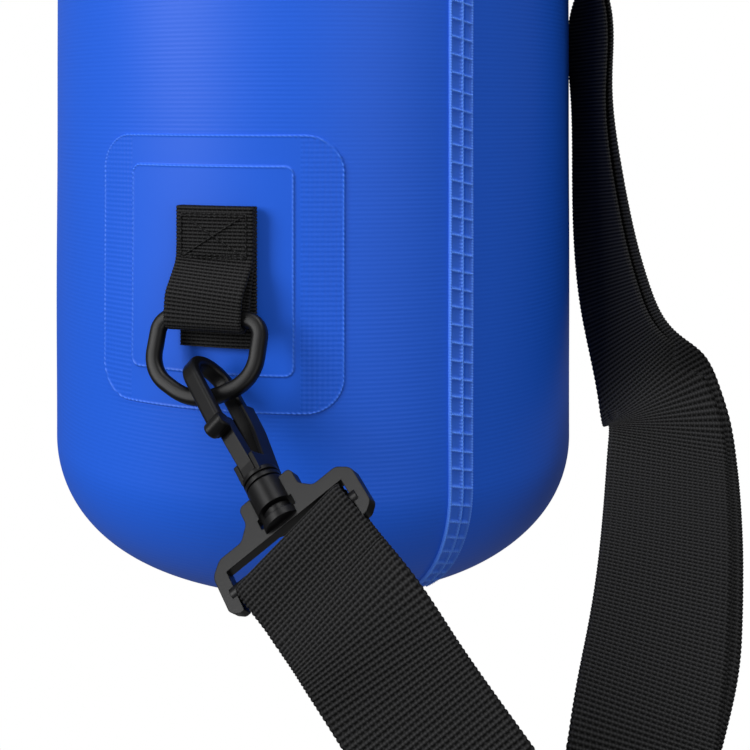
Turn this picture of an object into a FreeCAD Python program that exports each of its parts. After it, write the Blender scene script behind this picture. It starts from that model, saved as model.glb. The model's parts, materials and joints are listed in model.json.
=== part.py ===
import FreeCAD, Part
import math
import os
from FreeCAD import Vector

# Roll-top dry bag, 10 litre size, hanging by its buckled closure. Millimetres, +Z up.
# The origin is the lifting point: the middle of the underside of the buckle, at the top of the
# carry loop. The closure runs along X, the anchor patch faces -Y.

# ---- driving dimensions ----
BAG_RADIUS = 95.0
WALL = 1.2
SHOULDER_Z = -229.0          # the round tube ends here and starts to flatten
CORNER_Z = -404.0            # the tube ends here and turns into the rounded bottom
BASE_Z = -449.0
BASE_FLAT_RADIUS = 45.0
BASE_DISC = 1.2
NECK_Z = -104.2
# height, half width along X and half depth along Y of the flattening neck
NECK_SECTIONS = [(SHOULDER_Z, 95.0, 95.0), (-205.0, 96.5, 90.0), (-175.0, 98.5, 73.0),
                 (-145.0, 99.0, 49.0), (-120.0, 97.5, 25.0), (NECK_Z, 96.0, 13.0)]

WELD_AZIMUTH = 46.5          # of the side weld, from -Y towards +X
WELD_WIDTH = 9.0
WELD_HEIGHT = 1.0

PATCH_CENTRE = Vector(-1.5, 0, -336.0)
PATCH_SIZE = (82.6, 85.2)
PATCH_CORNER = 11.0
PATCH_THICKNESS = 1.2
PAD_SIZE = (54.6, 63.7)
PAD_CORNER = 2.5
PAD_HEIGHT = 0.8

WEB = 1.4                    # thickness of the 25 mm webbing
LOOP_WIDTH = 25.0
LOOP_TOP_Z = -315.1
LOOP_BASE_Z = -358.2

RING_WIRE = 2.4              # radius of the rings' wire
RING_HALF_WIDTH = 16.5
RING_DROP = 26.4             # bar to the lowest corner of the ring's outline
LOWER_BAR = Vector(2.5, -102.5, -348.5)
LOWER_LEAN = 24.0            # the lower ring leans out from the bag by this many degrees
UPPER_BAR = Vector(118.7, 0, -62.0)
EYE_REACH = 22.98            # bar to the wire where the lower hook hangs, along the ring
EYE_OFFSET = 6.0             # the lower hook hangs this far to the side of the ring's middle
UPPER_REACH = 24.07

HOOK_LENGTH = 49.6           # ring wire to the middle of the strap slot
HOOK_WIDTH = 7.4             # over the shank's two rails
NOSE_WIDTH = 5.4
RAIL_WIDTH = 1.3
HOOK_DEPTH = 3.4
HOOK_ROUND = 1.3
CURL_RADIUS = 7.45           # to the middle of the hook's section
CURL_RISE = 5.0              # the curl's centre above the ring's wire
NOSE_DROP = 16.0             # the nose's tip below the ring's wire
LOWER_SWIVEL = 12.0          # the lower hook is turned by this on its swivel
STEM_RADIUS = 3.2
STEM_CLEARANCE = 0.1
COLLAR_RADIUS = 5.3
GATE_PIVOT = (-2.7, 21.4)    # y and z in the hook's own frame
PIN_RADIUS = 0.75

STRAP_WIDTH = 38.0
STRAP_WEB = 1.5
LAYER_OFFSET = 1.05          # each layer's middle from the middle of the doubled strap
FRAME_HALF_WIDTH = 23.6
FRAME_THICKNESS = 3.6
SLOT_HALF_WIDTH = 19.6
BAR_DROP = 4.6               # strap bar below the slot's middle
BAR_RADIUS = 2.3
END_LENGTH = 21.0            # slot's middle to where the strap's end piece stops
CUT_GAP = 0.5
SLIDER_TRAVEL = 30.0

# directions of the lower hook: down its length, and across the strap
HANG = Vector(0.6389, -0.5193, -0.5685).normalize()
ACROSS = Vector(0.742, 0.2188, 0.634).normalize()

ROLL_Z = -96.0               # middle of the rolled closure at its lowest
ROLL_THICKNESS = 16.0
ROLL_WIDTH = 38.0
ROLL_CORNER = 45.0
ROLL_HALF = 105.0
ROLL_END_Z = -33.0
BATTEN = (1.6, 22.0)

BUCKLE_TOP = 10.0
BUCKLE_HALF = 16.5
FEMALE_X = (-28.0, 6.0)
MALE_X = (6.4, 14.0)
PRONG_PIVOT_X = 6.0
PRONG_Y = 9.0

# route of the doubled strap from the lower hook to the upper one: place, then across direction
ROUTE = [((73.0, -155.5, -424.5), (0.77, 0.20, 0.60)),
         ((91.5, -161.0, -444.0), (0.80, 0.20, 0.56)),
         ((108.2, -159.5, -465.0), (0.84, 0.18, 0.50)),
         ((118.6, -150.5, -481.5), (0.92, 0.08, 0.36)),
         ((123.5, -138.5, -487.5), (0.97, -0.03, 0.16)),
         ((126.5, -127.0, -478.0), (0.96, 0.10, 0.04)),
         ((128.5, -116.0, -455.0), (0.94, 0.30, -0.04)),
         ((131.2, -90.6, -434.5), (0.945, 0.32, 0.0)),
         ((132.0, -61.0, -416.0), (0.947, 0.322, 0.0)),
         ((131.0, -30.0, -398.0), (0.947, 0.322, 0.0)),
         ((126.0, -11.5, -380.0), (0.93, 0.10, 0.1)),
         ((114.5, -1.5, -352.0), (0.76, -0.60, 0.1)),
         ((104.8, 2.5, -318.0), (0.50, -0.86, 0.0)),
         ((101.3, 4.3, -280.0), (0.18, -0.98, 0.0)),
         ((102.2, 4.0, -248.0), (0.0, -1.0, 0.0))]
STRAIGHT_LOW = Vector(105.2, 2.2, -225.0)
STRAIGHT_TOP = Vector(116.2, 0.0, -172.0)
STRAIGHT_START = 10.0
STATIONS = 80


def boxed(low, high):
    """A box between two corners."""
    size = Vector(*high) - Vector(*low)
    return Part.makeBox(size.x, size.y, size.z, Vector(*low))


def placed(shape, origin, across, upward):
    """Turn a shape so that its X lies along across and its Z along upward, then move it."""
    depth = upward.cross(across)
    matrix = FreeCAD.Matrix(across.x, depth.x, upward.x, origin.x,
                            across.y, depth.y, upward.y, origin.y,
                            across.z, depth.z, upward.z, origin.z, 0, 0, 0, 1)
    result = shape.copy()
    result.Placement = FreeCAD.Placement(matrix)
    return result


def rounded_path(points, radii, closed=False):
    """A wire of straight runs with tangent arcs; radii belong to the inner points."""
    points = [Vector(*p) for p in points]
    edges = []
    start = points[0]
    for i, radius in enumerate(radii, 1):
        before = (points[i - 1] - points[i]).normalize()
        after = (points[(i + 1) % len(points)] - points[i]).normalize()
        half = before.getAngle(after) / 2
        reach = radius / math.tan(half)
        middle = (before + after).normalize()
        first = points[i] + before * reach
        last = points[i] + after * reach
        crown = points[i] + middle * (radius / math.sin(half) - radius)
        if (first - start).Length > 1e-6:
            edges.append(Part.LineSegment(start, first).toShape())
        edges.append(Part.Arc(first, crown, last).toShape())
        start = last
    end = points[0] if closed else points[-1]
    if (end - start).Length > 1e-6:
        edges.append(Part.LineSegment(start, end).toShape())
    return Part.Wire(edges)


def rounded_rectangle(width, height, radius):
    """A rounded rectangle round the origin in the XY plane, as a wire."""
    x, y = width / 2, height / 2
    corners = [(0, -y, 0), (x, -y, 0), (x, y, 0), (-x, y, 0), (-x, -y, 0)]
    return rounded_path(corners, [radius] * 4, closed=True)


def band(path, side, width, thickness, radius):
    """Carry a rounded rectangle along a flat path; side is the direction of its width."""
    start = path.OrderedEdges[0]
    tangent = start.tangentAt(start.FirstParameter).normalize()
    profile = placed(rounded_rectangle(width, thickness, radius),
                     start.valueAt(start.FirstParameter), side, tangent)
    shell = path.makePipeShell([profile], True, False)
    return shell


def side_path(points, radii, x=0.0, closed=False):
    """A rounded path in the YZ plane at the given x."""
    return rounded_path([(x, y, z) for y, z in points], radii, closed)


def front_path(points, radii, y=0.0):
    """A rounded path in the XZ plane at the given y."""
    return rounded_path([(x, y, z) for x, z in points], radii)


# ---- bag ----
def tube_profile(radius, inset):
    """The bag's half section below the shoulder, shrunk by inset, as a face in the XZ plane."""
    corner_x = BASE_FLAT_RADIUS
    long_axis = radius - corner_x
    short_axis = CORNER_Z - BASE_Z - inset
    ellipse = Part.Ellipse(Vector(radius, 0, CORNER_Z), Vector(corner_x, 0, BASE_Z + inset),
                           Vector(corner_x, 0, CORNER_Z))
    middle = Vector(corner_x + long_axis * math.sqrt(0.5), 0, CORNER_Z - short_axis * math.sqrt(0.5))
    start = ellipse.parameter(Vector(radius, 0, CORNER_Z))
    end = ellipse.parameter(Vector(corner_x, 0, BASE_Z + inset))
    half = ellipse.parameter(middle)
    if not min(start, end) <= half <= max(start, end):
        start, end = max(start, end), min(start, end) + 2 * math.pi
    curve = Part.ArcOfEllipse(ellipse, min(start, end), max(start, end)).toShape()
    low = Vector(0, 0, BASE_Z + inset)
    edges = [Part.LineSegment(Vector(0, 0, SHOULDER_Z), Vector(radius, 0, SHOULDER_Z)).toShape(),
             Part.LineSegment(Vector(radius, 0, SHOULDER_Z), Vector(radius, 0, CORNER_Z)).toShape(),
             curve,
             Part.LineSegment(Vector(corner_x, 0, BASE_Z + inset), low).toShape(),
             Part.LineSegment(low, Vector(0, 0, SHOULDER_Z)).toShape()]
    return Part.Face(Part.Wire(edges))


def bag_form(inset):
    """The bag's closed form: a round tube with a rounded bottom and a flattening neck."""
    tube = tube_profile(BAG_RADIUS - inset, inset).revolve(Vector(0, 0, 0), Vector(0, 0, 1), 360)
    wires = []
    for z, half_x, half_y in NECK_SECTIONS:
        if half_x > half_y:
            outline = Part.Ellipse(Vector(0, 0, z), half_x - inset, half_y - inset)
        else:
            outline = Part.Circle(Vector(0, 0, z), Vector(0, 0, 1), half_x - inset)
        wires.append(Part.Wire(outline.toShape()))
    neck = Part.makeLoft(wires, True, False)
    return tube.fuse(neck).removeSplitter()


def bag_wall():
    """The coated fabric, open at the neck, where the rolled closure shuts it."""
    return bag_form(0).cut(bag_form(WALL))


def base_disc():
    """The round panel welded under the bottom."""
    return Part.makeCylinder(BASE_FLAT_RADIUS - 0.5, BASE_DISC, Vector(0, 0, BASE_Z - BASE_DISC))


def side_weld():
    """The lap weld: a strip of the wall's outer skin, raised, down one side."""
    height = WELD_HEIGHT
    outer = tube_profile(BAG_RADIUS + height, 0)
    strip = outer.cut(tube_profile(BAG_RADIUS, 0))
    keep = boxed((BASE_FLAT_RADIUS + 6, -1, BASE_Z - 1), (BAG_RADIUS + 3, 1, SHOULDER_Z + 1))
    strip = strip.common(keep)
    angle = math.degrees(WELD_WIDTH / BAG_RADIUS)
    solid = strip.revolve(Vector(0, 0, 0), Vector(0, 0, 1), angle).Solids[0]
    solid.rotate(Vector(0, 0, 0), Vector(0, 0, 1), WELD_AZIMUTH - 90 - angle / 2)
    return solid


def wall_plate(centre, size, corner, inner, outer):
    """A plate that follows the wall: a ring of it cut by a rounded rectangle seen from -Y."""
    ring = Part.makeCylinder(outer, 120, Vector(0, 0, -400)).cut(
        Part.makeCylinder(inner, 120, Vector(0, 0, -400)))
    outline = rounded_rectangle(size[0], size[1], corner)
    prism = Part.Face(outline).extrude(Vector(0, 0, 120))
    prism.rotate(Vector(0, 0, 0), Vector(1, 0, 0), 90)
    prism.translate(centre)
    return ring.common(prism)


def anchor_patch():
    """The welded patch with its proud, unwelded middle."""
    low = BAG_RADIUS + PATCH_THICKNESS
    border = wall_plate(PATCH_CENTRE, PATCH_SIZE, PATCH_CORNER, BAG_RADIUS, low)
    pad = wall_plate(PATCH_CENTRE, PAD_SIZE, PAD_CORNER, BAG_RADIUS + 0.2, low + PAD_HEIGHT)
    return border.fuse(pad).removeSplitter()


def anchor_webbing():
    """The strip of webbing laid flat on the patch."""
    surface = BAG_RADIUS + PATCH_THICKNESS + PAD_HEIGHT
    centre = Vector(LOWER_BAR.x, 0, (LOOP_TOP_Z + LOOP_BASE_Z) / 2)
    return wall_plate(centre, (LOOP_WIDTH, LOOP_TOP_Z - LOOP_BASE_Z), 0.5, surface, surface + WEB)


def ring_loop():
    """The webbing folded round the lower ring's bar, sewn at its top."""
    bar_y, bar_z = LOWER_BAR.y, LOWER_BAR.z
    wrap = RING_WIRE + 0.3 + WEB / 2
    back_y = bar_y + wrap
    front_y = bar_y - wrap
    points = [(back_y, LOOP_TOP_Z), (back_y, bar_z - wrap), (front_y, bar_z - wrap),
              (front_y, bar_z + 5.5), (back_y - WEB - 0.02, bar_z + 17.5),
              (back_y - WEB - 0.02, LOOP_TOP_Z)]
    path = side_path(points, [wrap, wrap, 6, 6], LOWER_BAR.x)
    return band(path, Vector(1, 0, 0), LOOP_WIDTH, WEB, 0.3)


def upper_ring_loop():
    """The webbing that holds the upper ring on the right buckle tab."""
    wrap = RING_WIRE + 0.3 + WEB / 2
    back_x, front_x = UPPER_BAR.x - wrap, UPPER_BAR.x + wrap
    top = UPPER_BAR.z + 26
    points = [(back_x, top), (back_x, UPPER_BAR.z - wrap), (front_x, UPPER_BAR.z - wrap),
              (front_x, UPPER_BAR.z + 5), (back_x + WEB + 0.02, UPPER_BAR.z + 15),
              (back_x + WEB + 0.02, top)]
    path = front_path(points, [wrap, wrap, 6, 6])
    return band(path, Vector(0, 1, 0), LOOP_WIDTH, WEB, 0.3)


# ---- rolled closure ----
def roll_path():
    """The middle line of the rolled closure, bent up at both ends."""
    points = [(-ROLL_HALF, ROLL_END_Z), (-ROLL_HALF, ROLL_Z), (ROLL_HALF, ROLL_Z),
              (ROLL_HALF, ROLL_END_Z)]
    return front_path(points, [ROLL_CORNER, ROLL_CORNER])


def roll_closure():
    """The mouth rolled over itself, with a slit inside for the stiffener."""
    roll = band(roll_path(), Vector(0, 1, 0), ROLL_WIDTH, ROLL_THICKNESS, 5.0)
    slit = band(roll_path(), Vector(0, 1, 0), BATTEN[1] + 0.4, BATTEN[0] + 0.4, 0.4)
    return roll.cut(slit)


def closure_stiffener():
    """The plastic strip rolled into the closure."""
    return band(roll_path(), Vector(0, 1, 0), BATTEN[1], BATTEN[0], 0.3)


def buckle_tab(side):
    """A buckle's webbing: up the roll's end, over to the buckle's bar and back."""
    face = ROLL_HALF + ROLL_THICKNESS / 2 + WEB / 2
    bar_x = 38.0 if side < 0 else 24.0
    top = BUCKLE_TOP / 2 + 1.8 + 0.3 + WEB / 2
    low = BUCKLE_TOP - top
    turn = 36.0
    points = [(side * face, ROLL_END_Z - 14), (side * face, top),
              (side * (bar_x - top + low + 4), top), (side * (bar_x - top + low + 4), low),
              (side * (bar_x + 26), low)]
    wrap = (top - low) / 2
    points[2] = (side * (bar_x - wrap), top)
    points[3] = (side * (bar_x - wrap), low)
    path = front_path(points, [turn, wrap, wrap])
    return band(path, Vector(0, 1, 0), LOOP_WIDTH, WEB, 0.3)


# ---- side-release buckle ----
def buckle_shell(low_x, high_x):
    """A soft-edged block of the buckle's outer section."""
    block = boxed((low_x, -BUCKLE_HALF, 0), (high_x, BUCKLE_HALF, BUCKLE_TOP))
    return block.makeFillet(2.2, [e for e in block.Edges if abs(e.tangentAt(0).x) > 0.9])


def webbing_bar(side, near_x, far_x):
    """Two arms and the round bar that a buckle's webbing goes round."""
    low, high = BUCKLE_TOP / 2 - 2.2, BUCKLE_TOP / 2 + 2.2
    bar = Part.makeCylinder(1.8, 2 * BUCKLE_HALF - 4, Vector(far_x, 2 - BUCKLE_HALF, BUCKLE_TOP / 2),
                            Vector(0, 1, 0))
    for y in (-BUCKLE_HALF, BUCKLE_HALF - 3.0):
        ends = sorted((near_x, far_x + side * 2.2))
        bar = bar.fuse(boxed((ends[0], y, low), (ends[1], y + 3.0, high)))
    return bar


def buckle_female():
    """The socket half, open towards +X, with a window in each side for the prongs."""
    body = buckle_shell(*FEMALE_X)
    body = body.cut(boxed((-24.0, -13.2, 1.8), (7.0, 13.2, 8.2)))
    body = body.cut(boxed((-18.5, -20.0, 1.8), (-3.5, 20.0, 8.2)))
    return body.fuse(webbing_bar(-1, FEMALE_X[0], -38.0)).removeSplitter()


def buckle_male():
    """The plug half: its block, guide tongue and webbing bar."""
    body = buckle_shell(*MALE_X)
    tongue = boxed((-17.0, -2.8, 3.4), (7.0, 2.8, 6.6))
    return body.fuse(tongue).fuse(webbing_bar(1, MALE_X[1], 24.0)).removeSplitter()


def buckle_prong(side):
    """A spring prong with its finger pad in the socket's window."""
    outline = [(5.6, 7.6), (-16.5, 6.6), (-18.0, 8.6), (-18.0, 12.2), (-16.0, 15.6), (-6.5, 15.6),
               (-4.2, 12.4), (-4.2, 10.4), (5.6, 10.4)]
    points = [Vector(x, side * y, 2.4) for x, y in outline]
    face = Part.Face(Part.makePolygon(points + points[:1]))
    return face.extrude(Vector(0, 0, 5.2))


# ---- rings, hooks and strap frames ----
def ring():
    """A D-ring in the XZ plane: its bar on the X axis, hanging down."""
    a = RING_HALF_WIDTH
    corners = [(0, 0), (a, 0), (a, -17.5), (0, -RING_DROP), (-a, -17.5), (-a, 0)]
    path = rounded_path([(x, 0, z) for x, z in corners], [5, 11, 17, 11, 5], closed=True)
    circle = Part.Wire(Part.Circle(Vector(0, 0, 0), Vector(1, 0, 0), RING_WIRE).toShape())
    return path.makePipeShell([circle], True, False)


def hook():
    """A swivel snap hook: the slot's middle is the origin, its eye is above, the nose at -Y."""
    eye = HOOK_LENGTH + CURL_RISE + CURL_RADIUS
    nose = HOOK_LENGTH - NOSE_DROP
    points = [(3.1, 18.0), (CURL_RADIUS, 36.0), (CURL_RADIUS, eye), (-CURL_RADIUS, eye),
              (-CURL_RADIUS, nose)]
    spine = side_path(points, [30, CURL_RADIUS, CURL_RADIUS])
    body = band(spine, Vector(1, 0, 0), NOSE_WIDTH, HOOK_DEPTH, HOOK_ROUND)
    for side in (-1, 1):
        middle = side * (HOOK_WIDTH - RAIL_WIDTH) / 2
        rail = side_path([(2.4, 18.0), (6.4, 35.0), (6.7, 44.0)], [30], middle)
        body = body.fuse(band(rail, Vector(1, 0, 0), RAIL_WIDTH, 5.4, 0.4))
    tip = Part.makeCylinder(2.5, NOSE_WIDTH + 1.0, Vector(-(NOSE_WIDTH + 1.0) / 2, -CURL_RADIUS - 0.6,
                                                          nose + 2.2), Vector(1, 0, 0))
    tip = tip.makeFillet(0.8, tip.Edges)
    tip = tip.common(boxed((-6, -12, nose - 1), (6, -CURL_RADIUS + HOOK_DEPTH / 2, nose + 6)))
    body = body.fuse(tip)
    # swivel: two-rimmed collar, stem and the head that keeps it in the frame
    for low, high, radius in ((15.8, 17.0, COLLAR_RADIUS), (17.0, 17.7, COLLAR_RADIUS - 0.7),
                              (17.7, 18.9, COLLAR_RADIUS), (7.0, 15.8, STEM_RADIUS),
                              (4.9, 7.1, STEM_RADIUS + 0.8)):
        body = body.fuse(Part.makeCylinder(radius, high - low, Vector(0, 0, low)))
    # root of the gate: a cheek on each side, with the gate between them
    for x in (-HOOK_WIDTH / 2, HOOK_WIDTH / 2 - RAIL_WIDTH):
        cheek = boxed((x, -4.4, 18.0), (x + RAIL_WIDTH, 4.0, 24.0))
        body = body.fuse(cheek)
    return body.cut(gate_pin()).removeSplitter()


def gate():
    """The spring tongue that closes the hook, channelled along its inner side."""
    half = HOOK_WIDTH / 2 - RAIL_WIDTH - 0.25
    nose = HOOK_LENGTH - NOSE_DROP
    foot = boxed((-half, -4.4, 19.3), (half, -0.9, 23.8))
    outer_y = -CURL_RADIUS + HOOK_DEPTH / 2 + 0.4
    points = [Vector(-half, -4.4, 22.0), Vector(-half, -0.9, 22.0),
              Vector(-half, outer_y + 2.7, nose + 4.5), Vector(-half, outer_y, nose + 4.5),
              Vector(-half, outer_y, nose - 1.5)]
    blade = Part.Face(Part.makePolygon(points + points[:1])).extrude(Vector(2 * half, 0, 0))
    channel = boxed((-half + 1.0, -2.9, 25.5), (half - 1.0, 3.0, nose + 1.5))
    pin_hole = Part.makeCylinder(PIN_RADIUS + 0.08, 10, Vector(-5, *GATE_PIVOT), Vector(1, 0, 0))
    return foot.fuse(blade).cut(channel).cut(pin_hole).removeSplitter()


def gate_pin():
    """The pin through the hook's cheeks that the gate turns on."""
    return Part.makeCylinder(PIN_RADIUS, HOOK_WIDTH - 0.4, Vector(0.2 - HOOK_WIDTH / 2, *GATE_PIVOT),
                             Vector(1, 0, 0))


def strap_frame():
    """The swivel frame: sleeve and window for the hook's stem, slot and bar for the strap."""
    half = FRAME_THICKNESS / 2
    right = [(9.0, 14.2), (9.0, 9.0), (12.4, 5.6), (20.0, 5.6), (FRAME_HALF_WIDTH, 2.6),
             (FRAME_HALF_WIDTH, -8.4), (21.2, -10.4)]
    outline = right + [(-x, z) for x, z in reversed(right)]
    points = [(0, 14.2)] + outline
    radii = [1.6, 2.6, 2.6, 3.2, 3.2, 2.0, 1.6] + [1.6, 2.0, 3.2, 3.2, 2.6, 2.6, 1.6]
    wire = rounded_path([(x, -half, z) for x, z in points], radii, closed=True)
    plate = Part.Face(wire).extrude(Vector(0, 2 * half, 0))
    sleeve = Part.makeCylinder(5.4, 12.6, Vector(0, 0, 2.6))
    frame = plate.fuse(sleeve)
    frame = frame.cut(boxed((-SLOT_HALF_WIDTH, -5, -12), (SLOT_HALF_WIDTH, 5, 1.5)))
    bar = Part.makeCylinder(BAR_RADIUS, 2 * SLOT_HALF_WIDTH + 3,
                            Vector(-SLOT_HALF_WIDTH - 1.5, 0, -BAR_DROP), Vector(1, 0, 0))
    frame = frame.fuse(bar)
    frame = frame.cut(boxed((-5.8, -8, 4.6), (5.8, 8, 7.6)))
    ring_low = Part.makeCylinder(5.4, 2.1, Vector(0, 0, 2.6))
    frame = frame.fuse(ring_low)
    bore = Part.makeCylinder(STEM_RADIUS + STEM_CLEARANCE, 12, Vector(0, 0, 7.0))
    return frame.cut(bore).removeSplitter()


def strap_end():
    """The strap's fold round the frame's bar: two legs that close up to the doubled strap."""
    wrap = BAR_RADIUS + 0.3 + STRAP_WEB / 2
    points = [(-LAYER_OFFSET, -END_LENGTH), (-LAYER_OFFSET, -BAR_DROP - 11), (-wrap, -BAR_DROP - 2),
              (-wrap, -BAR_DROP + wrap), (wrap, -BAR_DROP + wrap), (wrap, -BAR_DROP - 2),
              (LAYER_OFFSET, -BAR_DROP - 11), (LAYER_OFFSET, -END_LENGTH)]
    path = side_path(points, [8, 6, wrap - 0.01, wrap - 0.01, 6, 8])
    return band(path, Vector(1, 0, 0), STRAP_WIDTH, STRAP_WEB, 0.3)


# ---- strap ----
def strap_stations(start, first_along, first_across, end, last_across):
    """Places, tangents and across directions at even steps along the strap's route."""
    places = [start, start + first_along * STRAIGHT_START] + [Vector(*p) for p, w in ROUTE]
    widths = [first_across, first_across] + [Vector(*w) for p, w in ROUTE]
    for step in range(4):
        places.append(STRAIGHT_LOW + (STRAIGHT_TOP - STRAIGHT_LOW) * (step / 3.0))
        widths.append(last_across)
    places.append(end)
    widths.append(last_across)
    knots = [0.0]
    for before, after in zip(places, places[1:]):
        knots.append(knots[-1] + (after - before).Length)
    edge_points = [p + w * (STRAP_WIDTH / 2) for p, w in zip(places, widths)]
    curve = Part.BSplineCurve()
    edge_line = Part.BSplineCurve()
    for line, points in ((curve, places), (edge_line, edge_points)):
        line.interpolate(Points=points, Parameters=knots)
    stations = []
    low, high = curve.FirstParameter, curve.LastParameter
    for i in range(STATIONS + 1):
        at = low + (high - low) * i / STATIONS
        tangent = Vector(*curve.tangent(at)[0])
        across = edge_line.value(at) - curve.value(at)
        across = (across - tangent * across.dot(tangent)).normalize()
        stations.append((curve.value(at), tangent, across))
    stations[0] = (start, first_along, first_across)
    return stations


def strap_layer(stations, offset):
    """One layer of webbing along the stations, offset from the middle of the doubled strap."""
    rings = []
    for place, tangent, across in stations:
        face_normal = tangent.cross(across).normalize()
        side = across * (STRAP_WIDTH / 2)
        low = place + face_normal * (offset - STRAP_WEB / 2)
        high = place + face_normal * (offset + STRAP_WEB / 2)
        rings.append([low - side, high - side, high + side, low + side])
    corners = [tuple(reversed(rings[0])), tuple(rings[-1])]
    for ring_a, ring_b in zip(rings, rings[1:]):
        for i in (1, 2, 3):
            corners.append((ring_a[i - 1], ring_a[i], ring_b[i]))
            corners.append((ring_a[i - 1], ring_b[i], ring_b[i - 1]))
        corners.append((ring_a[3], ring_a[0], ring_b[3]))
        corners.append((ring_a[0], ring_b[0], ring_b[3]))
    faces = [Part.Face(Part.makePolygon(loop + loop[:1])) for loop in corners]
    return Part.makeSolid(Part.makeShell(faces))


def slider():
    """The tri-glide: two end bars outside the main run and a middle bar inside it."""
    body = boxed((-25.0, -3.9, -13.5), (25.0, 4.2, 13.5))
    body = body.makeFillet(2.0, [e for e in body.Edges if abs(e.tangentAt(0).y) > 0.9])
    body = body.cut(boxed((-19.8, -8, -10.5), (19.8, 8, 10.5)))
    body = body.cut(boxed((-19.8, -8, -20), (19.8, 2.1, 20)))
    middle = boxed((-21, -3.9, -3.0), (21, -1.9, 3.0))
    return body.fuse(middle).removeSplitter()


def slider_loop():
    """The strap's sewn end, folded round the slider's middle bar."""
    mid = -2.9
    wrap = 1.0 + 0.2 + STRAP_WEB / 2
    points = [(mid + wrap, -11.5), (mid + wrap, 3.0 + wrap),
              (mid - wrap, 3.0 + wrap), (mid - wrap, -11.5)]
    path = side_path(points, [wrap - 0.01, wrap - 0.01])
    return band(path, Vector(1, 0, 0), STRAP_WIDTH, STRAP_WEB, 0.3)


# ---- assembly ----
os.makedirs("parts", exist_ok=True)
parts = {}

parts["bag_wall"] = bag_wall()
parts["base_disc"] = base_disc()
parts["side_weld"] = side_weld()
parts["anchor_patch"] = anchor_patch()
parts["anchor_webbing"] = anchor_webbing()
parts["lower_ring_loop"] = ring_loop()
parts["upper_ring_loop"] = upper_ring_loop()
parts["roll_closure"] = roll_closure()
parts["closure_stiffener"] = closure_stiffener()
parts["left_buckle_tab"] = buckle_tab(-1)
parts["right_buckle_tab"] = buckle_tab(1)
parts["buckle_socket"] = buckle_female()
parts["buckle_plug"] = buckle_male()
parts["front_prong"] = buckle_prong(-1)
parts["rear_prong"] = buckle_prong(1)

up = Vector(0, 0, 1)
lean = math.radians(LOWER_LEAN)
lean_up = Vector(0, math.sin(lean), math.cos(lean))
parts["lower_d_ring"] = placed(ring(), LOWER_BAR, Vector(1, 0, 0), lean_up)
parts["upper_d_ring"] = placed(ring(), UPPER_BAR, Vector(0, 1, 0), up)

lower_eye = LOWER_BAR + Vector(EYE_OFFSET, 0, 0) - lean_up * EYE_REACH
lower_slot = lower_eye + HANG * HOOK_LENGTH
upper_slot = UPPER_BAR - up * (UPPER_REACH + HOOK_LENGTH)
hook_set = {"hook": hook(), "gate": gate(), "gate_pin": gate_pin()}
frame_set = {"strap_frame": strap_frame(), "strap_end": strap_end()}
swivel = math.radians(-LOWER_SWIVEL)
lower_depth = (HANG * -1).cross(ACROSS)
hook_across = ACROSS * math.cos(swivel) + lower_depth * math.sin(swivel)
for name, shape in hook_set.items():
    parts["lower_" + name] = placed(shape, lower_slot, hook_across, HANG * -1)
    parts["upper_" + name] = placed(shape, upper_slot, Vector(0, 1, 0), up)
for name, shape in frame_set.items():
    parts["lower_" + name] = placed(shape, lower_slot, ACROSS, HANG * -1)
    parts["upper_" + name] = placed(shape, upper_slot, Vector(0, 1, 0), up)

strap_start = lower_slot + HANG * (END_LENGTH + CUT_GAP)
strap_stop = upper_slot - up * (END_LENGTH + CUT_GAP)
stations = strap_stations(strap_start, HANG, ACROSS, strap_stop, Vector(0, -1, 0))
parts["strap_main_run"] = strap_layer(stations, LAYER_OFFSET)

slide = (STRAIGHT_TOP - STRAIGHT_LOW).normalize()
slider_place = STRAIGHT_TOP - slide * 14.0
slider_across = Vector(0, -1, 0)
slider_across = (slider_across - slide * slider_across.dot(slide)).normalize()
return_stop = slider_place - slide * (12.0 + SLIDER_TRAVEL)
return_stations = [s for s in stations if (s[0] - return_stop).dot(slide) < 0 or s[0].z < -260]
parts["strap_return_run"] = strap_layer(return_stations, -LAYER_OFFSET)
parts["strap_slider"] = placed(slider(), slider_place, slider_across, slide)
parts["strap_slider_loop"] = placed(slider_loop(), slider_place, slider_across, slide)

for name, shape in parts.items():
    shape.exportStep("parts/" + name + ".step")
    box = shape.BoundBox
    print("%-20s valid %s solids %d volume %9.1f  x %7.1f %7.1f y %7.1f %7.1f z %7.1f %7.1f" % (
        name, shape.isValid(), len(shape.Solids), shape.Volume, box.XMin, box.XMax,
        box.YMin, box.YMax, box.ZMin, box.ZMax))
print("lower eye", lower_eye, "lower slot", lower_slot, "upper slot", upper_slot)
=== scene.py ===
import json
import logging
import math
from dataclasses import dataclass, field
from enum import Enum

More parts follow.
